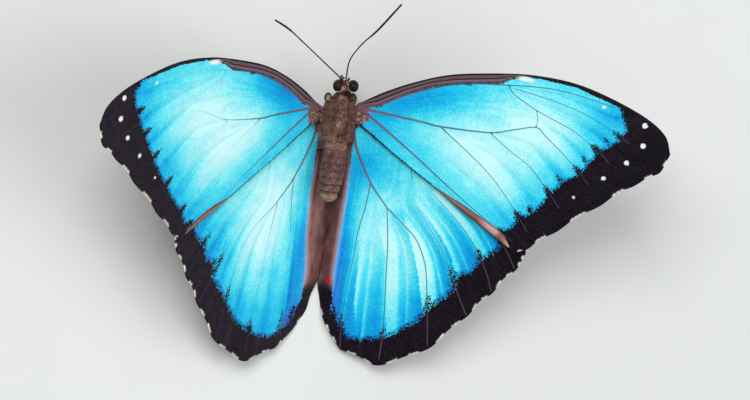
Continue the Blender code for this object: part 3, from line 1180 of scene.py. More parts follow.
HINDWING_RIGHT_SHAPE = WingShape(
    HINDWING_COSTA, HINDWING_TIPS,
    (
        (1.9, -42.5), (0.1, -39.5), (-1.4, -35.4), (-2.3, -32.3), (-2.4, -26.0), (-2.3, -16.0),
        (-1.6, -6.0), (-1.6, -3.3),
    ),
    0.6, 0.3, HINDWING_SOCKET,
)
HINDWING_LEFT_SHAPE = WingShape(
    HINDWING_COSTA, HINDWING_TIPS,
    (
        (0.9, -43.1), (-1.4, -40.8), (-3.0, -38.4), (-3.6, -35.0), (-5.1, -31.0), (-5.5, -24.0),
        (-5.6, -16.0), (-5.0, -10.0), (-4.2, -5.5), (-3.4, -3.1),
    ),
    0.6, 0.3, HINDWING_SOCKET,
)

# Edges of the blue fields: along the front, along the black border and along the rear.
FOREWING_FRONT: Line = (
    (2.2, 1.6), (5.1, 3.8), (10.8, 7.2), (15.6, 9.6), (20.5, 11.0), (30.0, 12.7), (33.0, 13.4),
    (38.0, 14.15), (46.0, 13.6),
)
FOREWING_BORDER: Line = (
    (57.7, 6.4), (55.8, 3.3), (52.6, 0.8), (49.3, -4.6), (46.2, -6.6), (43.9, -9.9), (41.1, -14.1),
    (38.2, -16.4), (35.4, -20.2),
)
FOREWING_LEFT_BORDER: Line = (
    (58.2, 8.8), (57.6, 5.6), (55.8, 3.0), (52.8, -1.6), (49.6, -6.3), (47.1, -9.6), (43.4, -13.7),
    (39.6, -17.6), (36.9, -21.2),
)
# The blue stops a little inside the rear edge, so that a thin dark line shows along it: a painted
# shadow where the forewing lies over the hindwing.
FOREWING_REAR: Line = ((36.0, -22.2), (28.0, -17.75), (18.6, -12.05), (9.0, -6.55), (2.2, -2.2))
HINDWING_BORDER: Line = (
    (7.7, -43.3), (13.0, -42.2), (15.6, -40.7), (19.7, -37.4), (23.9, -32.0), (27.3, -28.6),
    (27.5, -25.2), (30.4, -24.7), (31.7, -21.4), (35.3, -18.3),
)
HINDWING_FRONT: Line = ((38.0, -11.0), (31.0, -4.4), (22.0, 1.6), (12.0, 5.2), (4.0, 5.0))

FOREWING_MARKS = Markings(
    blue=(*FOREWING_FRONT, (55.5, 10.9), *FOREWING_BORDER, *FOREWING_REAR),
    outer=((57.0, 9.5), *FOREWING_BORDER),
    veins=(
        (((1.0, 2.2), (5.1, 2.6), (10.8, 6.0), (20.5, 9.9), (31.7, 11.7), (42.7, 12.4),
          (54.4, 10.8)), 0.22, 0.04),
        (((33.2, 11.2), (40.9, 10.1), (47.3, 8.7), (52.2, 7.0), (56.0, 5.2),
          (58.8, 3.6)), 0.05, 0.03),
        (((31.7, 11.7), (33.2, 10.0), (37.7, 7.7), (41.9, 6.1), (46.9, 4.3), (52.6, 0.9),
          (55.2, -1.2)), 0.1, 0.03),
        (((38.4, 7.3), (38.9, 5.6), (38.8, 3.8)), 0.04, 0.04),
        (((1.0, 1.7), (2.4, 1.4), (14.7, 0.8), (18.7, 0.5), (29.2, 1.0), (34.0, 2.4), (38.8, 3.8),
          (40.9, 2.4), (43.2, 0.7), (46.5, -1.8), (49.3, -4.3), (51.6, -6.6)), 0.38, 0.02),
        (((29.2, 1.1), (34.6, -2.4), (38.9, -4.9), (44.0, -10.1), (46.2, -12.6)), 0.06, 0.03),
        (((18.7, 0.5), (28.3, -6.1), (33.3, -10.5), (38.2, -16.2), (40.2, -18.8)), 0.1, 0.03),
        (((1.0, 0.9), (3.2, 0.2), (13.9, -6.4), (24.0, -13.2), (34.0, -19.4),
          (37.4, -21.4)), 0.38, 0.01),
        # this last line runs along the rear edge: a painted shadow line where the forewing lies
        # over the hindwing
        (((1.0, -1.4), (9.0, -6.9), (18.6, -12.4), (28.0, -18.1), (36.7, -23.0)), 0.02, 0.12),
    ),
    folds=(
        ((45.3, 2.6), (48.5, -0.2), (50.0, -1.3)), ((40.1, -1.7), (43.0, -4.0), (45.5, -6.6)),
        ((37.9, -3.4), (41.8, -7.6)), ((35.8, -8.3), (38.3, -11.0), (40.2, -14.0)),
        ((29.5, -13.3), (33.7, -17.7)), ((46.0, 8.0), (50.5, 6.0), (54.0, 3.6)),
    ),
    fan=(0, 1, 2, 4, 5, 6, 7, 8),
    ripple=((0.0, 0.04), (0.3, 0.02), (0.5, -0.1), (0.7, 0.02), (1.0, 0.04)),
    fade=(4.0, 15.0),
    base=0.64,
    patches=(
        ((13.0, 5.2), (12.0, 4.6), 14.0, -0.3),
        ((38.0, 3.5), (12.0, 8.0), 0.0, 0.34),
        ((27.0, -5.0), (13.0, 5.5), -32.0, 0.32),
        ((52.0, 7.0), (6.0, 5.0), 0.0, -0.14),
        ((4.0, -1.0), (6.0, 3.0), -30.0, -0.12),
    ),
    spots=(
        (52.3, 10.5, 0.4), (61.4, 8.0, 0.62), (61.7, 3.7, 0.62), (58.8, -0.5, 0.52),
        (54.5, -4.6, 0.48), (48.9, -9.7, 0.3),
    ),
    stripe=(
        (1.5, 1.9), (5.1, 2.5), (10.8, 6.2), (15.6, 8.6), (20.5, 10.0), (30.0, 11.8), (32.0, 13.0),
    ),
    white=((35.2, 13.55, 1.9, 0.5),),
    eyespots=((50.5, 4.5, 2.6), (52.0, -2.0, 1.5), (44.0, -9.0, 2.3)),
    dashes=((0.32, 0.66),),
    pleat=0.08,
)
HINDWING_MARKS = Markings(
    blue=(
        (1.4, -2.0), (1.6, -13.5), (1.4, -21.7), (1.3, -29.7), (1.9, -36.3), (5.0, -42.9),
        *HINDWING_BORDER, *HINDWING_FRONT, (2.2, 3.6), (1.4, 1.6),
    ),
    outer=((1.9, -39.0), (5.0, -42.9), *HINDWING_BORDER, (37.0, -14.0)),
    veins=(
        (((1.0, 1.6), (2.6, -2.6), (6.3, -8.8), (10.6, -13.7)), 0.46, 0.12),
        (((6.3, -8.8), (6.1, -13.4), (5.2, -20.1), (5.0, -26.0), (4.5, -33.0), (4.6, -41.7),
          (4.9, -45.8)), 0.1, 0.06),
        (((10.6, -13.7), (11.8, -21.0), (12.5, -28.3), (13.5, -40.2), (13.5, -47.0)), 0.08, 0.08),
        (((10.6, -13.7), (14.2, -16.4), (17.7, -19.4), (20.0, -23.5), (21.0, -26.9),
          (22.1, -33.3), (23.4, -42.3)), 0.1, 0.07),
        (((16.5, -12.0), (23.0, -20.0), (27.0, -27.5), (30.6, -34.0)), 0.0, 0.09),
        (((20.0, -9.0), (28.0, -16.0), (33.0, -23.0), (35.2, -28.0)), 0.0, 0.07),
        (((24.0, -7.0), (32.0, -12.5), (37.0, -18.5), (39.4, -22.2)), 0.0, 0.06),
        (((14.5, -4.5), (15.0, -6.8)), 0.06, 0.02),
        (((1.2, -3.0), (1.0, -14.0), (0.8, -26.0), (0.6, -36.0), (2.0, -42.0)), -0.3, -0.3),
    ),
    fan=(8, 1, 2, 3, 4, 5, 6),
    ripple=(
        (0.0, 0.04), (0.06, 0.12), (0.28, 0.1), (0.36, -0.16), (0.46, -0.2), (0.52, 0.06),
        (0.58, -0.14), (0.8, -0.28), (0.93, -0.16), (1.0, 0.04),
    ),
    fade=(8.0, 25.0),
    base=0.65,
    patches=(
        ((2.4, -24.0), (1.4, 16.0), 0.0, -0.3),
        ((9.0, -20.0), (4.5, 13.0), 0.0, 0.22),
        ((20.0, -10.0), (10.0, 6.0), -35.0, 0.2),
        ((18.0, -24.0), (6.5, 9.0), 20.0, 0.26),
        ((5.0, -6.0), (4.0, 5.0), 0.0, -0.24),
        ((12.0, -7.0), (5.0, 4.0), -50.0, -0.12),
    ),
    eyespots=((27.0, -8.5, 3.4), (27.0, -22.5, 2.5), (20.5, -30.5, 2.7), (12.0, -37.0, 2.3)),
    dashes=((0.17, 0.4), (0.6, 0.83)),
    tufts=((3.2, -44.6), (1.6, -42.0), (-0.2, -38.8)),
    ruby=((0.4, -31.7, 0.6),),
    hair=(0.0, 2.6, 2.2),
    rear=33.0,
    pleat=0.14,
)
FOREWING_LEFT_MARKS = replace(
    FOREWING_MARKS, base=0.54, faint=0.1,
    blue=(*FOREWING_FRONT, (56.4, 11.2), *FOREWING_LEFT_BORDER, *FOREWING_REAR),
    outer=((57.4, 10.4), *FOREWING_LEFT_BORDER),
    patches=(
        ((11.0, 6.4), (11.0, 5.0), 14.0, -0.36),
        ((36.0, 3.0), (13.0, 9.0), 0.0, 0.42),
        ((26.0, -5.0), (13.0, 6.0), -32.0, 0.38),
    ),
)
HINDWING_LEFT_MARKS = replace(
    HINDWING_MARKS, base=0.54, faint=0.08, ruby=(), fade=(6.0, 20.0),
    ripple=((0.0, 0.02), (0.25, 0.06), (0.5, -0.12), (0.75, 0.04), (1.0, 0.02)),
    blue=(
        (0.1, -2.0), (0.2, -7.0), (0.4, -13.5), (-0.2, -21.7), (-1.5, -30.0), (-1.3, -36.0),
        (2.4, -41.0), *HINDWING_BORDER, *HINDWING_FRONT, (1.4, 3.6), (0.3, 1.0),
    ),
    patches=(
        ((13.0, -17.0), (8.5, 14.0), 10.0, 0.5),
        ((24.0, -10.0), (8.0, 6.0), -35.0, 0.16),
        ((1.6, -28.0), (2.0, 12.0), 0.0, -0.3),
    ),
    tufts=((3.0, -45.4), (-1.6, -40.6)),
)


def wings() -> list[WingSheet]:
    """Returns the four wings in their stance."""
    return [
        WingSheet(
            "forewing_right", Side.RIGHT, (3.35, 1.27, 1.27), 28.9, 0.0, 0.0, (0.0, 1.3),
            FOREWING_SHAPE, FOREWING_MARKS,
        ),
        WingSheet(
            "forewing_left", Side.LEFT, (4.75, 0.87, 1.27), 29.4, -0.4, 0.8, (1.4, 1.3),
            FOREWING_SHAPE, FOREWING_LEFT_MARKS,
        ),
        WingSheet(
            "hindwing_right", Side.RIGHT, (3.18, -4.25, 0.0), 27.3, 0.0, 0.0, (0.0, 3.0),
            HINDWING_RIGHT_SHAPE, HINDWING_MARKS, Fold((1.3, 1.3), (18.0, 18.0)),
        ),
        WingSheet(
            "hindwing_left", Side.LEFT, (3.14, -4.43, -0.6), 28.3, 1.0, -1.5, (0.0, 3.0),
            HINDWING_LEFT_SHAPE, HINDWING_LEFT_MARKS, Fold((1.4, -1.2), (-8.0, -14.0)),
        ),
    ]


def curled_edges() -> list[CurledEdge]:
    """Returns the rolled strip of each forewing's rear edge."""
    right, left = wings()[:2]
    return [
        CurledEdge(right, (
            (18.6, -12.2, 0.05), (22.0, -14.3, 0.6), (26.0, -16.7, 1.15), (31.0, -19.6, 1.75),
            (34.4, -21.6, 1.75), (36.8, -23.0, 0.5),
        ), (0.0, 1.0)),
        CurledEdge(left, (
            (24.0, -15.6, 0.05), (27.5, -17.7, 0.8), (31.5, -19.9, 1.25), (35.0, -21.9, 0.95),
            (36.9, -23.0, 0.2),
        ), (0.15, 0.5)),
    ]


# --- Body ---


@dataclass(frozen=True)
class Coat:
    """One stretch of the coat.

    Attributes:
        name: the piece's name.
        slot: a material slot of the record; not used.
        front, rear: the stretch of the skin it covers.
        count: how many tufts.
        length: the shortest and the longest tuft.
        width: a tuft's width at its root.
        rise: how steeply the tufts stand off the skin, as a slope.
        stray: how far they lean to one side or the other.
        flank: how far up the side it reaches, where 1 is all round.
        light: how much lighter it is than the skin.
    """

    name: str
    slot: str
    front: float
    rear: float
    count: int
    length: tuple[float, float]
    width: float
    rise: float
    stray: float = 0.22
    flank: float = 1.1
    light: float = 0.0


THORAX_COATS = (
    Coat("head_coat", "head_scales", 8.4, 5.6, 3200, (0.2, 0.42), 0.08, 0.35),
    Coat("thorax_coat", "thorax_scales", 5.6, -4.2, 11000, (0.4, 0.8), 0.1, 0.16),
    Coat("wing_base_coat", "thorax_scales", 4.4, -3.6, 8000, (0.9, 2.3), 0.1, 1.5, 0.7, 0.8, 0.06),
    Coat("shoulder_coat", "thorax_scales", 5.9, 3.4, 2600, (0.5, 1.5), 0.1, 1.0, 0.6, 0.75, -0.14),
)
ABDOMEN_COATS = (
    Coat("abdomen_coat", "abdomen_scales", -4.2, -17.0, 12000, (0.28, 0.5), 0.11, 0.1),
    Coat(
        "abdomen_tip_coat", "abdomen_scales", -16.2, -17.7, 1500, (0.5, 0.95), 0.14, 0.32, 0.45,
        light=0.08,
    ),
)


# A tuft is seven points, from three at its root and three half way to one at its tip. Its patch of
# the unwrap is that wide, with the points at these places in it.
TUFT_POINTS = 7
TUFT_FACES = (
    (0, 2, 1), (0, 1, 4), (0, 4, 3), (1, 2, 5), (1, 5, 4), (2, 0, 3), (2, 3, 5), (3, 4, 6),
    (4, 5, 6), (5, 3, 6),
)
TUFT_PATCH = 0.003
TUFT_SPREAD = ((0, 0), (1, 0), (0.5, 0.2), (0.1, 0.6), (0.9, 0.6), (0.5, 0.7), (0.5, 1.0))


@dataclass
class Body:
    """Head, thorax and abdomen as one skin, with a coat of tufts over it.

    Attributes:
        stations: (y, x, z, half width, half height) of the skin from the face to the tail.
        tones: (place, size, amount) of the lighter and darker patches of hair. Those on the flanks
            are
        painted light on the left and painted shade on the right.
        segments: the front and the rear of the ringed abdomen.
        rings: abdomen segments.
        seed: where the random draws of the coat start.
    """

    stations: tuple = (
        (8.55, -0.05, 2.5, 0.12, 0.12), (8.45, -0.1, 2.5, 0.7, 0.8), (8.05, -0.2, 2.5, 1.05, 1.2),
        (7.3, -0.2, 2.5, 1.3, 1.5), (6.5, 0.0, 2.45, 1.4, 1.45), (5.8, 0.12, 2.3, 1.35, 1.35),
        (5.2, 0.06, 2.05, 1.35, 1.42), (4.5, 0.0, 1.85, 1.55, 1.75), (3.5, 0.0, 1.75, 1.95, 2.24),
        (2.5, 0.0, 1.7, 2.27, 2.6), (0.45, 0.0, 1.7, 2.47, 2.84), (-1.5, 0.0, 1.75, 2.4, 2.72),
        (-3.0, 0.0, 1.95, 2.25, 2.42), (-4.3, -0.06, 2.35, 2.2, 2.15),
        (-5.5, -0.1, 2.55, 2.32, 2.12), (-7.5, -0.12, 2.6, 2.56, 2.34),
        (-10.45, -0.12, 2.6, 2.68, 2.44), (-12.5, -0.12, 2.6, 2.54, 2.34),
        (-14.5, -0.12, 2.6, 2.2, 2.0), (-15.9, -0.12, 2.6, 1.82, 1.64),
        (-16.9, -0.12, 2.6, 1.42, 1.3), (-17.4, -0.12, 2.6, 0.9, 0.85),
        (-17.6, -0.12, 2.6, 0.1, 0.1),
    )
    tones: tuple = (
        ((-0.77, 7.35, 3.9), 0.34, 0.8), ((-0.6, 8.1, 3.6), 0.5, -0.2),
        ((0.2, 8.25, 3.6), 0.3, 0.4), ((-1.2, 6.6, 3.5), 0.5, 0.3), ((0.3, 6.0, 3.7), 0.9, -0.3),
        ((1.3, 6.3, 3.4), 0.6, -0.35), ((-0.95, -0.4, 4.5), 0.42, 0.3),
        # the last four: painted shade on the right flank and painted light on the left flank
        ((-0.4, -2.9, 4.4), 0.5, -0.12), ((2.2, 3.6, 2.9), 0.8, -0.2),
        ((2.6, -1.4, 2.8), 0.7, -0.12), ((-2.6, -0.9, 2.6), 0.9, 0.18),
        ((-2.3, -3.2, 3.0), 0.9, 0.2),
    )
    segments: tuple[float, float] = (-4.6, -16.8)
    rings: int = 8
    seed: int = 11

    def surface(self, along: Array, turn: Array) -> Array:
        """Finds points of the skin.

        Args:
            along: places from 0 at the face to 1 at the tail.
            turn: angles round it, 0 to the right and a quarter turn on the back.

        Returns:
            Points in millimetres.
        """
        table = smooth_line(self.stations, 40)
        spots = np.linspace(0.0, 1.0, len(table))
        y, x, z, wide, high = (np.interp(along, spots, column) for column in table.T)
        swell = self.relief(y, turn)
        across, up = (wide + swell) * np.cos(turn), (high + swell) * np.sin(turn)
        return np.stack([x, y, z], axis=-1) + np.stack([across, 0 * y, up], axis=-1) @ ROLL.T

    def ring_place(self, y: Array) -> Array:
        """Returns how far back in its abdomen segment a place lies, from 0 to 1."""
        start, end = self.segments
        return np.clip((start - y) / (start - end), 0.0, 0.9999) * self.rings % 1.0

    def relief(self, y: Array, turn: Array) -> Array:
        """Returns how far segments, shoulders, median line and shield stand out of the skin."""
        back, side = math.pi / 2, 0.75
        lap = self.ring_place(y) ** 2 * 0.16 - 0.06
        lap = lap * smooth_step(self.segments[0] - y, 0.0, 0.8) * (1 - smooth_step(-y, 16.6, 17.2))
        median = -0.09 * bell(turn, back, 0.09) * smooth_step(y, -2.0, 0.0)
        median = median * (1 - smooth_step(y, 3.8, 4.6))
        shoulders = bell(turn, side, 0.35) + bell(turn, math.pi - side, 0.35)
        shoulders = 0.22 * bell(y, 3.6, 0.9) * shoulders
        upward = np.maximum(np.cos(turn - back), 0.0)
        shield = 0.16 * bell(y, -2.0, 0.7) * bell(turn, back, 0.55) * upward
        return lap + median + shoulders + shield

    def shade(self, points: Array, turn: Array) -> Array:
        """Returns how light the coat is at places on the body, which skin and tufts share."""
        y = points[:, 1]
        light = 0.14 + 0.03 * np.sin(turn * 5.0 + y * 0.6)
        # the flank entries add painted light on the left and painted shade on the right
        for place, size, amount in self.tones:
            light += amount * np.exp(-((points - place) ** 2).sum(1) / size ** 2)
        for place, size, amount in (
            (5.3, 0.4, 0.12), (6.2, 0.35, -0.34), (-17.2, 1.1, 0.34), (-5.0, 1.2, 0.08),
            (-9.0, 3.0, -0.06),
        ):
            light += amount * bell(y, place, size)
        rear = smooth_step(-y, 4.6, 6.0) * (0.2 + 0.8 * smooth_step(-y, 10.0, 14.0))
        rear = rear * (1 - smooth_step(-y, 16.2, 16.9))
        return light + (0.02 - 0.3 * bell(self.ring_place(y), 0.97, 0.09)) * rear

    def warmth(self, points: Array) -> Array:
        """Returns where the hair turns to the dark rust red of the face."""
        face, reach = (-0.5, 7.95, 3.6), 0.6
        return 0.8 * np.exp(-((points - face) ** 2).sum(1) / reach ** 2)

    def build_skin(self, material: bpy.types.Material) -> bpy.types.Object:
        """Builds the one skin under the coat."""
        rows, sides = 300, 96
        along, turn = np.meshgrid(
            np.linspace(0, 1, rows), 2 * math.pi * np.arange(sides) / sides, indexing="ij"
        )
        points = self.surface(along, turn).reshape(-1, 3)
        values = {
            "shade": self.shade(points, turn.ravel()), "place": points, "warm": self.warmth(points),
        }
        return make_piece(
            "body_skin", points, ring_faces(rows, sides, True), [material],
            ("head", "thorax", "abdomen"), values,
        )

    def roots(self, coat: Coat, draw: np.random.Generator) -> tuple[Array, Array, Array]:
        """Picks the places of a coat's tufts, spread evenly over its stretch of skin.

        Args:
            coat: what the piece covers.
            draw: where the random numbers come from.

        Returns:
            Places along the body, angles round it and points of the roots.
        """
        tries, widest = coat.count * 8, 2.8
        along = draw.uniform(0, 1, tries)
        turn = draw.uniform(0, 2 * math.pi, tries)
        roots = self.surface(along, turn)
        girth = np.linalg.norm(roots[:, [0, 2]] - (0.0, BODY_AXIS), axis=1)
        keep = (roots[:, 1] < coat.front) & (roots[:, 1] > coat.rear)
        keep &= (draw.uniform(0, widest, tries) < girth) & (np.abs(np.sin(turn)) < coat.flank)
        along, turn, roots = (found[keep][:coat.count] for found in (along, turn, roots))
        return along, turn, roots

    def tufts(
        self, coat: Coat, draw: np.random.Generator, along: Array, turn: Array, roots: Array
    ) -> Array:
        """Shapes the tufts, which lie back along the body.

        Args:
            coat: how the tufts lie.
            draw: where the random numbers come from.
            along, turn, roots: where they stand.

        Returns:
            Seven points for each tuft.
        """
        count, small = len(roots), 1e-3
        behind = self.surface(np.clip(along + small, 0, 1), turn)
        ahead = unit(behind - self.surface(np.clip(along - small, 0, 1), turn))
        round_it = unit(self.surface(along, turn + small) - self.surface(along, turn - small))
        normal = unit(np.cross(ahead, round_it))
        outward = roots - np.stack([np.zeros(count), roots[:, 1], np.full(count, BODY_AXIS)], 1)
        normal *= np.sign((normal * outward).sum(1))[:, None]
        lean = ahead + round_it * draw.normal(0, coat.stray, count)[:, None]
        lean += normal * (coat.rise + draw.normal(0, 0.3 * coat.rise, count))[:, None]
        lean = unit(lean)
        size = draw.uniform(*coat.length, count)[:, None]
        side = unit(np.cross(lean, normal))
        half = coat.width / 2 * draw.uniform(0.7, 1.2, count)[:, None]
        base = roots - normal * 0.03
        middle = base + lean * size * 0.55 + normal * 0.02
        tip = base + lean * size - normal * size * min(coat.rise, 0.5) * 0.35
        return np.stack([
            base - side * half, base + side * half, base + normal * half * 0.6,
            middle - side * half * 0.75, middle + side * half * 0.75, middle + normal * half * 0.5,
            tip,
        ], axis=1).reshape(-1, 3)

    def unwrap(self, piece: bpy.types.Object, along: Array, turn: Array) -> None:
        """Gives each tuft a small patch at its root's place on an unwrap of the skin.

        Args:
            piece: the tufts' mesh.
            along, turn: where they stand.
        """
        centre = np.stack([turn / (2 * math.pi), along], 1) * (1 - 2 * TUFT_PATCH) + TUFT_PATCH
        spread = (np.array(TUFT_SPREAD) - 0.5) * TUFT_PATCH
        unwrapped = (centre[:, None] + spread[None]).reshape(-1, 2)
        layer = piece.data.uv_layers.new(name="OFBake")
        corners = np.empty(len(piece.data.loops), np.int32)
        piece.data.loops.foreach_get("vertex_index", corners)
        layer.data.foreach_set("uv", unwrapped[corners].astype(np.float32).ravel())

    def build_coat(self, coat: Coat, material: bpy.types.Material) -> bpy.types.Object:
        """Builds one piece of the coat from solid tufts.

        Args:
            coat: what the piece covers and how its tufts lie.
            material: its finish.

        Returns:
            The new object.
        """
        draw = np.random.default_rng(self.seed + coat.count)
        along, turn, roots = self.roots(coat, draw)
        points = self.tufts(coat, draw, along, turn, roots)
        firsts = range(0, len(points), TUFT_POINTS)
        faces = [
            tuple(first + corner for corner in face) for first in firsts for face in TUFT_FACES
        ]
        light = self.shade(roots, turn) + coat.light + draw.normal(0, 0.1, len(roots))
        values = {
            "shade": np.repeat(light, TUFT_POINTS), "place": points,
            "warm": np.repeat(self.warmth(roots), TUFT_POINTS),
        }
        piece = make_piece(coat.name, points, faces, [material], (), values)
        self.unwrap(piece, along, turn)
        return piece


@dataclass(frozen=True)
class Tegula:
    """The scaled flap over a forewing's root: a small lobe with a tan middle and a dark rim.

    Attributes:
        side: which side of the body it is on.
        centre: its middle.
        half: its half sizes.
        tan: how light its middle is.
    """

    side: Side
    centre: Point
    half: Point
    tan: float

    def build(self, material: bpy.types.Material) -> bpy.types.Object:
        """Builds the lobe."""
        ball, faces = ball_mesh(24, 32)
        light = self.tan * smooth_step(ball[:, 2], 0.6, 0.9) - 0.12
        points = np.array(self.centre) + (ball * self.half) @ ROLL.T
        return make_piece(
            f"tegula_{self.side.word}", points, faces, [material], (),
            {"shade": light, "place": points},
        )


@dataclass(frozen=True)
class Eye:
    """One compound eye: a smooth dome with fine facets.

    Attributes:
        side: which side of the head it is on.
        ahead: how far it stands forward of the head's middle.
        half: its half sizes.
        head: the head's middle.
        spread: how far out from there it stands, and how high.
    """

    side: Side
    ahead: float
    half: Point = (1.2, 1.34, 1.45)
    head: Point = (0.2, 7.15, 2.5)
    spread: tuple[float, float] = (1.55, 0.15)

    def on_dome(self, points: Array) -> Array:
        """Turns points of a unit ball into points of the eye."""
        out, up = self.spread
        centre = np.array(self.head) + ROLL @ np.array([self.side.value * out, 0.0, up])
        return centre + np.array([0.0, self.ahead, 0.0]) + (points * self.half) @ ROLL.T

    def build(self, material: bpy.types.Material) -> bpy.types.Object:
        """Builds the eye in place of its solid part."""
        ball, faces = ball_mesh(40, 56)
        word = self.side.word
        return make_piece(
            f"eye_dome_{word}", self.on_dome(ball), faces, [material],
            (f"eye_{word}",),
        )


@dataclass(frozen=True)
class EyeRim:
    """The line of pale scales along the rear inner edge of an eye.

    Attributes:
        eye: the eye it lies on.
        start, end: the angles it runs between, in degrees.
        ring: radius and height of its circle on the unit ball of the eye.
        thickness: its half width.
        light: how light its scales are.
    """

    eye: Eye
    start: float = 200.0
    end: float = 295.0
    ring: tuple[float, float] = (0.84, 0.58)
    thickness: float = 0.12
    light: float = 0.42

    def build(self, material: bpy.types.Material) -> bpy.types.Object:
        """Builds the rim as a thin tube that lies on the eye."""
        side, (radius, height) = self.eye.side, self.ring
        turn = np.radians(np.linspace(self.start, self.end, 20))
        across, ahead = side.value * np.cos(turn) * radius, np.sin(turn) * radius
        route = self.eye.on_dome(np.stack([across, ahead, height + 0 * turn], 1))
        radii = self.thickness * np.sin(np.linspace(0.15, math.pi - 0.15, len(turn))) ** 0.5
        points, faces = tube_rings(route, radii, 10)
        return make_piece(
            f"eye_rim_{side.word}", points, faces, [material], (),
            {"shade": np.full(len(points), self.light), "place": points},
        )


@dataclass(frozen=True)
class Limb:
    """A jointed leg, feeler, palp or tongue: a tube that swells and narrows at its joints.

    Attributes:
        node: the solid part it replaces.
        slot: a material slot of the record; not used.
        route: the points it runs through.
        radii: its half widths, evenly spaced along it.
        joints: how many joints it has.
        notch: how much it narrows at one.
    """

    node: str
    slot: str
    route: tuple[Point, ...]
    radii: tuple[float, ...]
    joints: int
    notch: float = 0.12

    def build(self, material: bpy.types.Material) -> bpy.types.Object:
        """Builds the limb in place of its solid part."""
        route = smooth_line(self.route, 24)
        share = np.linspace(0, 1, len(route))
        radii = np.interp(share, np.linspace(0, 1, len(self.radii)), self.radii)
        if self.joints:
            at_joint = np.abs(np.sin(math.pi * self.joints * share)) < 0.35
            radii = radii * (1 - self.notch * at_joint)
        points, faces = tube_rings(above_floor(route, 0.17), radii, 12)
        return make_piece(self.node + "_detail", points, faces, [material], (self.node,))


FEELER_RADII = (0.17, 0.15, 0.15, 0.14, 0.15, 0.24, 0.2)
FEELER_ROUTES = {
    Side.RIGHT: (
        (-0.15, 8.0, 3.0), (-0.35, 9.6, 3.6), (-0.73, 13.6, 5.2), (0.96, 17.4, 6.4),
        (3.7, 20.9, 7.4), (7.6, 27.0, 8.8),
    ),
    Side.LEFT: (
        (-0.9, 7.9, 3.0), (-1.5, 9.1, 3.7), (-6.2, 12.6, 5.3), (-12.9, 17.5, 7.0),
        (-16.3, 19.9, 7.6), (-19.6, 21.6, 8.0),
    ),
}
PALP_ROUTE = ((0.62, 7.6, 1.5), (0.78, 8.5, 1.45), (0.68, 8.95, 2.2), (0.5, 9.25, 2.75))
FORELEG_ROUTE = ((0.5, 2.6, -0.3), (0.6, 3.6, -2.0), (0.5, 2.2, -2.9))
WALKING_LEGS = {  # a point without a height lies on the floor
    "midleg": ((1.3, 0.9, -0.6), (5.2, 1.4, -2.6), (8.2, 1.4, None), (11.4, 1.2, None)),
    "hindleg": ((1.2, -2.0, -0.6), (5.2, -4.8, -2.6), (8.2, -9.0, None), (10.8, -12.8, None)),
}
HEAD_MIDDLE = 0.2  # how far right of the body's middle the head lies


def foot_level(forward: float) -> float:
    """Returns the height in the butterfly's frame where a leg lies on the floor."""
    half_width = 0.19
    return half_width - (HINGE_HEIGHT + forward * math.sin(BODY_PITCH)) / math.cos(BODY_PITCH)


def limbs() -> list[tuple[Limb, str]]:
    """Returns each limb with the name of its finish."""
    found = [
        (Limb(f"antenna_{side.word}", "feeler_cuticle", route, FEELER_RADII, 38), "feeler")
        for side, route in FEELER_ROUTES.items()
    ]
    first, last = 100, 520
    coil = [(HEAD_MIDDLE, 7.5, 1.6)]
    for angle in range(first, last + 1, 20):
        reach = 1.2 - 0.75 * (angle - first) / (last - first)
        turn = math.radians(angle)
        coil.append((HEAD_MIDDLE, 8.15 + reach * math.cos(turn), -0.35 + reach * math.sin(turn)))
    tongue = Limb("proboscis", "proboscis_cuticle", tuple(coil), (0.2, 0.19, 0.17, 0.14), 40, 0.08)
    found.append((tongue, "tongue"))
    for side in Side:
        sign, word = side.value, side.word
        route = tuple((sign * x + HEAD_MIDDLE, y, z) for x, y, z in PALP_ROUTE)
        palp = Limb(f"palp_{word}", "palp_scales", route, (0.24, 0.24, 0.19, 0.1), 0)
        found.append((palp, "palp"))
        fore = tuple((sign * x, y, z) for x, y, z in FORELEG_ROUTE)
        found.append((Limb(f"foreleg_{word}", "leg_cuticle", fore, (0.26, 0.22, 0.2), 3), "leg"))
        for name, joints in WALKING_LEGS.items():
            route = tuple((sign * x, y, foot_level(y) if z is None else z) for x, y, z in joints)
            leg = Limb(f"{name}_{word}", "leg_cuticle", route, (0.26, 0.22, 0.17, 0.15), 9)
            found.append((leg, "leg"))
    return found


# --- Studio ---


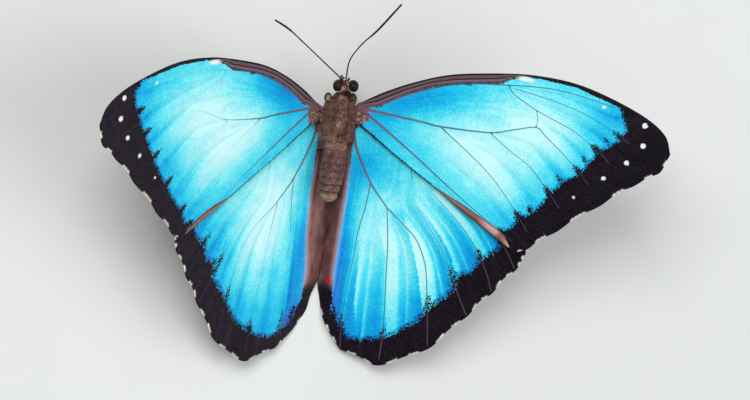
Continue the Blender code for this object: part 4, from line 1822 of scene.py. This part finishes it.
@dataclass(frozen=True)
class Studio:
    """Pale floor, soft lights and the camera, in metres.

    Attributes:
        eye, right, up: where the camera is and how it is turned.
        lens: its focal length in millimetres.
        floor_half: half the width of the floor.
        air: brightness of the light from all round.
    """

    eye: Point = (-0.33889, 0.05707, 0.89792)
    right: Point = (0.92954498, 0.07939543, 0.36005901)
    up: Point = (-0.05108974, 0.9948556, -0.0874767)
    lens: float = 216.0
    floor_half: float = 2.5
    air: float = 0.44

    def build(self) -> None:
        """Builds the studio round the model."""
        self.floor()
        self.light("key_softbox", (-0.45, 0.4, 0.9), 0.45, 7.6)
        self.light("fill_softbox", (0.7, -0.1, 0.8), 0.8, 4.6)
        world = bpy.data.worlds.new("studio_air")
        world.use_nodes = True
        background = world.node_tree.nodes["Background"]
        background.inputs["Color"].default_value = linear("eef2f5")
        background.inputs["Strength"].default_value = self.air
        bpy.context.scene.world = world
        bpy.context.scene.view_settings.view_transform = "Standard"
        self.camera()

    def floor(self) -> None:
        """Adds the plain pale floor."""
        mesh = bpy.data.meshes.new("studio_floor")
        half = self.floor_half
        corners = [(-half, -half, 0), (half, -half, 0), (half, half, 0), (-half, half, 0)]
        mesh.from_pydata(corners, [], [(0, 1, 2, 3)])
        paper = Finish("matt_studio_paper", 0.9, 1.5)
        fibres = paper.add("TexNoise", {"Scale": 60.0, "Detail": 4.0})
        tint = paper.add("ValToRGB", {0: fibres}, stops=((0.3, "d6d8d6"), (0.7, "dddfdd")))
        mesh.materials.append(paper.end(tint))
        floor = show("studio_floor", mesh)

    def light(self, name: str, place: Point, size: float, power: float) -> None:
        """Adds a soft square light aimed at the model.

        Args:
            name: the light's name.
            place: where it hangs.
            size: its width.
            power: its power in watts.
        """
        lamp = bpy.data.lights.new(name, "AREA")
        lamp.size = size
        lamp.energy = power
        shown = show(name, lamp)
        shown.location = place
        shown.rotation_euler = (-Vector(place)).to_track_quat("-Z", "Y").to_euler()

    def camera(self) -> None:
        """Adds the camera and makes it the scene's."""
        right, up = Vector(self.right).normalized(), Vector(self.up).normalized()
        back = right.cross(up).normalized()
        turned = Matrix((right, up, back)).transposed().to_4x4()
        data = bpy.data.cameras.new("camera")
        data.lens = self.lens
        data.sensor_width = 36.0
        shown = show("camera", data)
        shown.matrix_world = Matrix.Translation(self.eye) @ turned
        bpy.context.scene.camera = shown


def main() -> None:
    """Builds the butterfly's pieces in order, then the studio."""
    upper = {
        "forewing": WingScales("forewing_blue_scales", 0.9).build(),
        "hindwing": WingScales("hindwing_blue_scales", 1.5).build(),
    }
    lower = Underside().build()
    for wing in wings():
        wing.build([upper[wing.name.split("_")[0]], lower])
    curled = CurledScales().build()
    for edge in curled_edges():
        edge.build(curled)
    body = Body()
    thorax_hair = Hair("thorax_brown_hair", "26150f", "6e4a42", "b08a78").build()
    abdomen_hair = Hair("abdomen_grey_brown_scales", "2e1f20", "5f4747", "a98270", 0.45).build()
    body.build_skin(thorax_hair)
    for coats, hair in ((THORAX_COATS, thorax_hair), (ABDOMEN_COATS, abdomen_hair)):
        for coat in coats:
            body.build_coat(coat, hair)
    tan_hair = Hair("tegula_olive_tan_scales", "1c1410", "5a4834", "8f7e5a").build()
    Tegula(Side.LEFT, (-3.05, 4.5, 1.6), (0.8, 1.05, 0.65), 0.5).build(tan_hair)
    Tegula(Side.RIGHT, (2.2, 4.6, 2.3), (0.95, 1.3, 0.8), 0.12).build(tan_hair)
    facets = Cuticle("faceted_eye_cuticle", "0c0907", "2a211a", 0.3, 0.05, 0.14).build()
    for eye in (Eye(Side.RIGHT, 0.4), Eye(Side.LEFT, 0.15)):
        eye.build(facets)
        EyeRim(eye).build(thorax_hair)
    cuticles = {
        "feeler": Cuticle("black_feeler_cuticle", "080706", "1c1610", 0.5, 0.12, 0.15).build(),
        "tongue": Cuticle("brown_tongue_cuticle", "2a1710", "55341f", 0.35, 0.1).build(),
        "leg": Cuticle("brown_leg_cuticle", "2c1d14", "5e452f", 0.5, 0.1).build(),
        "palp": Cuticle("scaled_palp_cuticle", "1c120e", "5a3a2a", 0.7, 0.1).build(),
    }
    for limb, finish in limbs():
        limb.build(cuticles[finish])
    Studio().build()


if __name__ == "__main__":
    logging.basicConfig(level=logging.INFO)
    main()
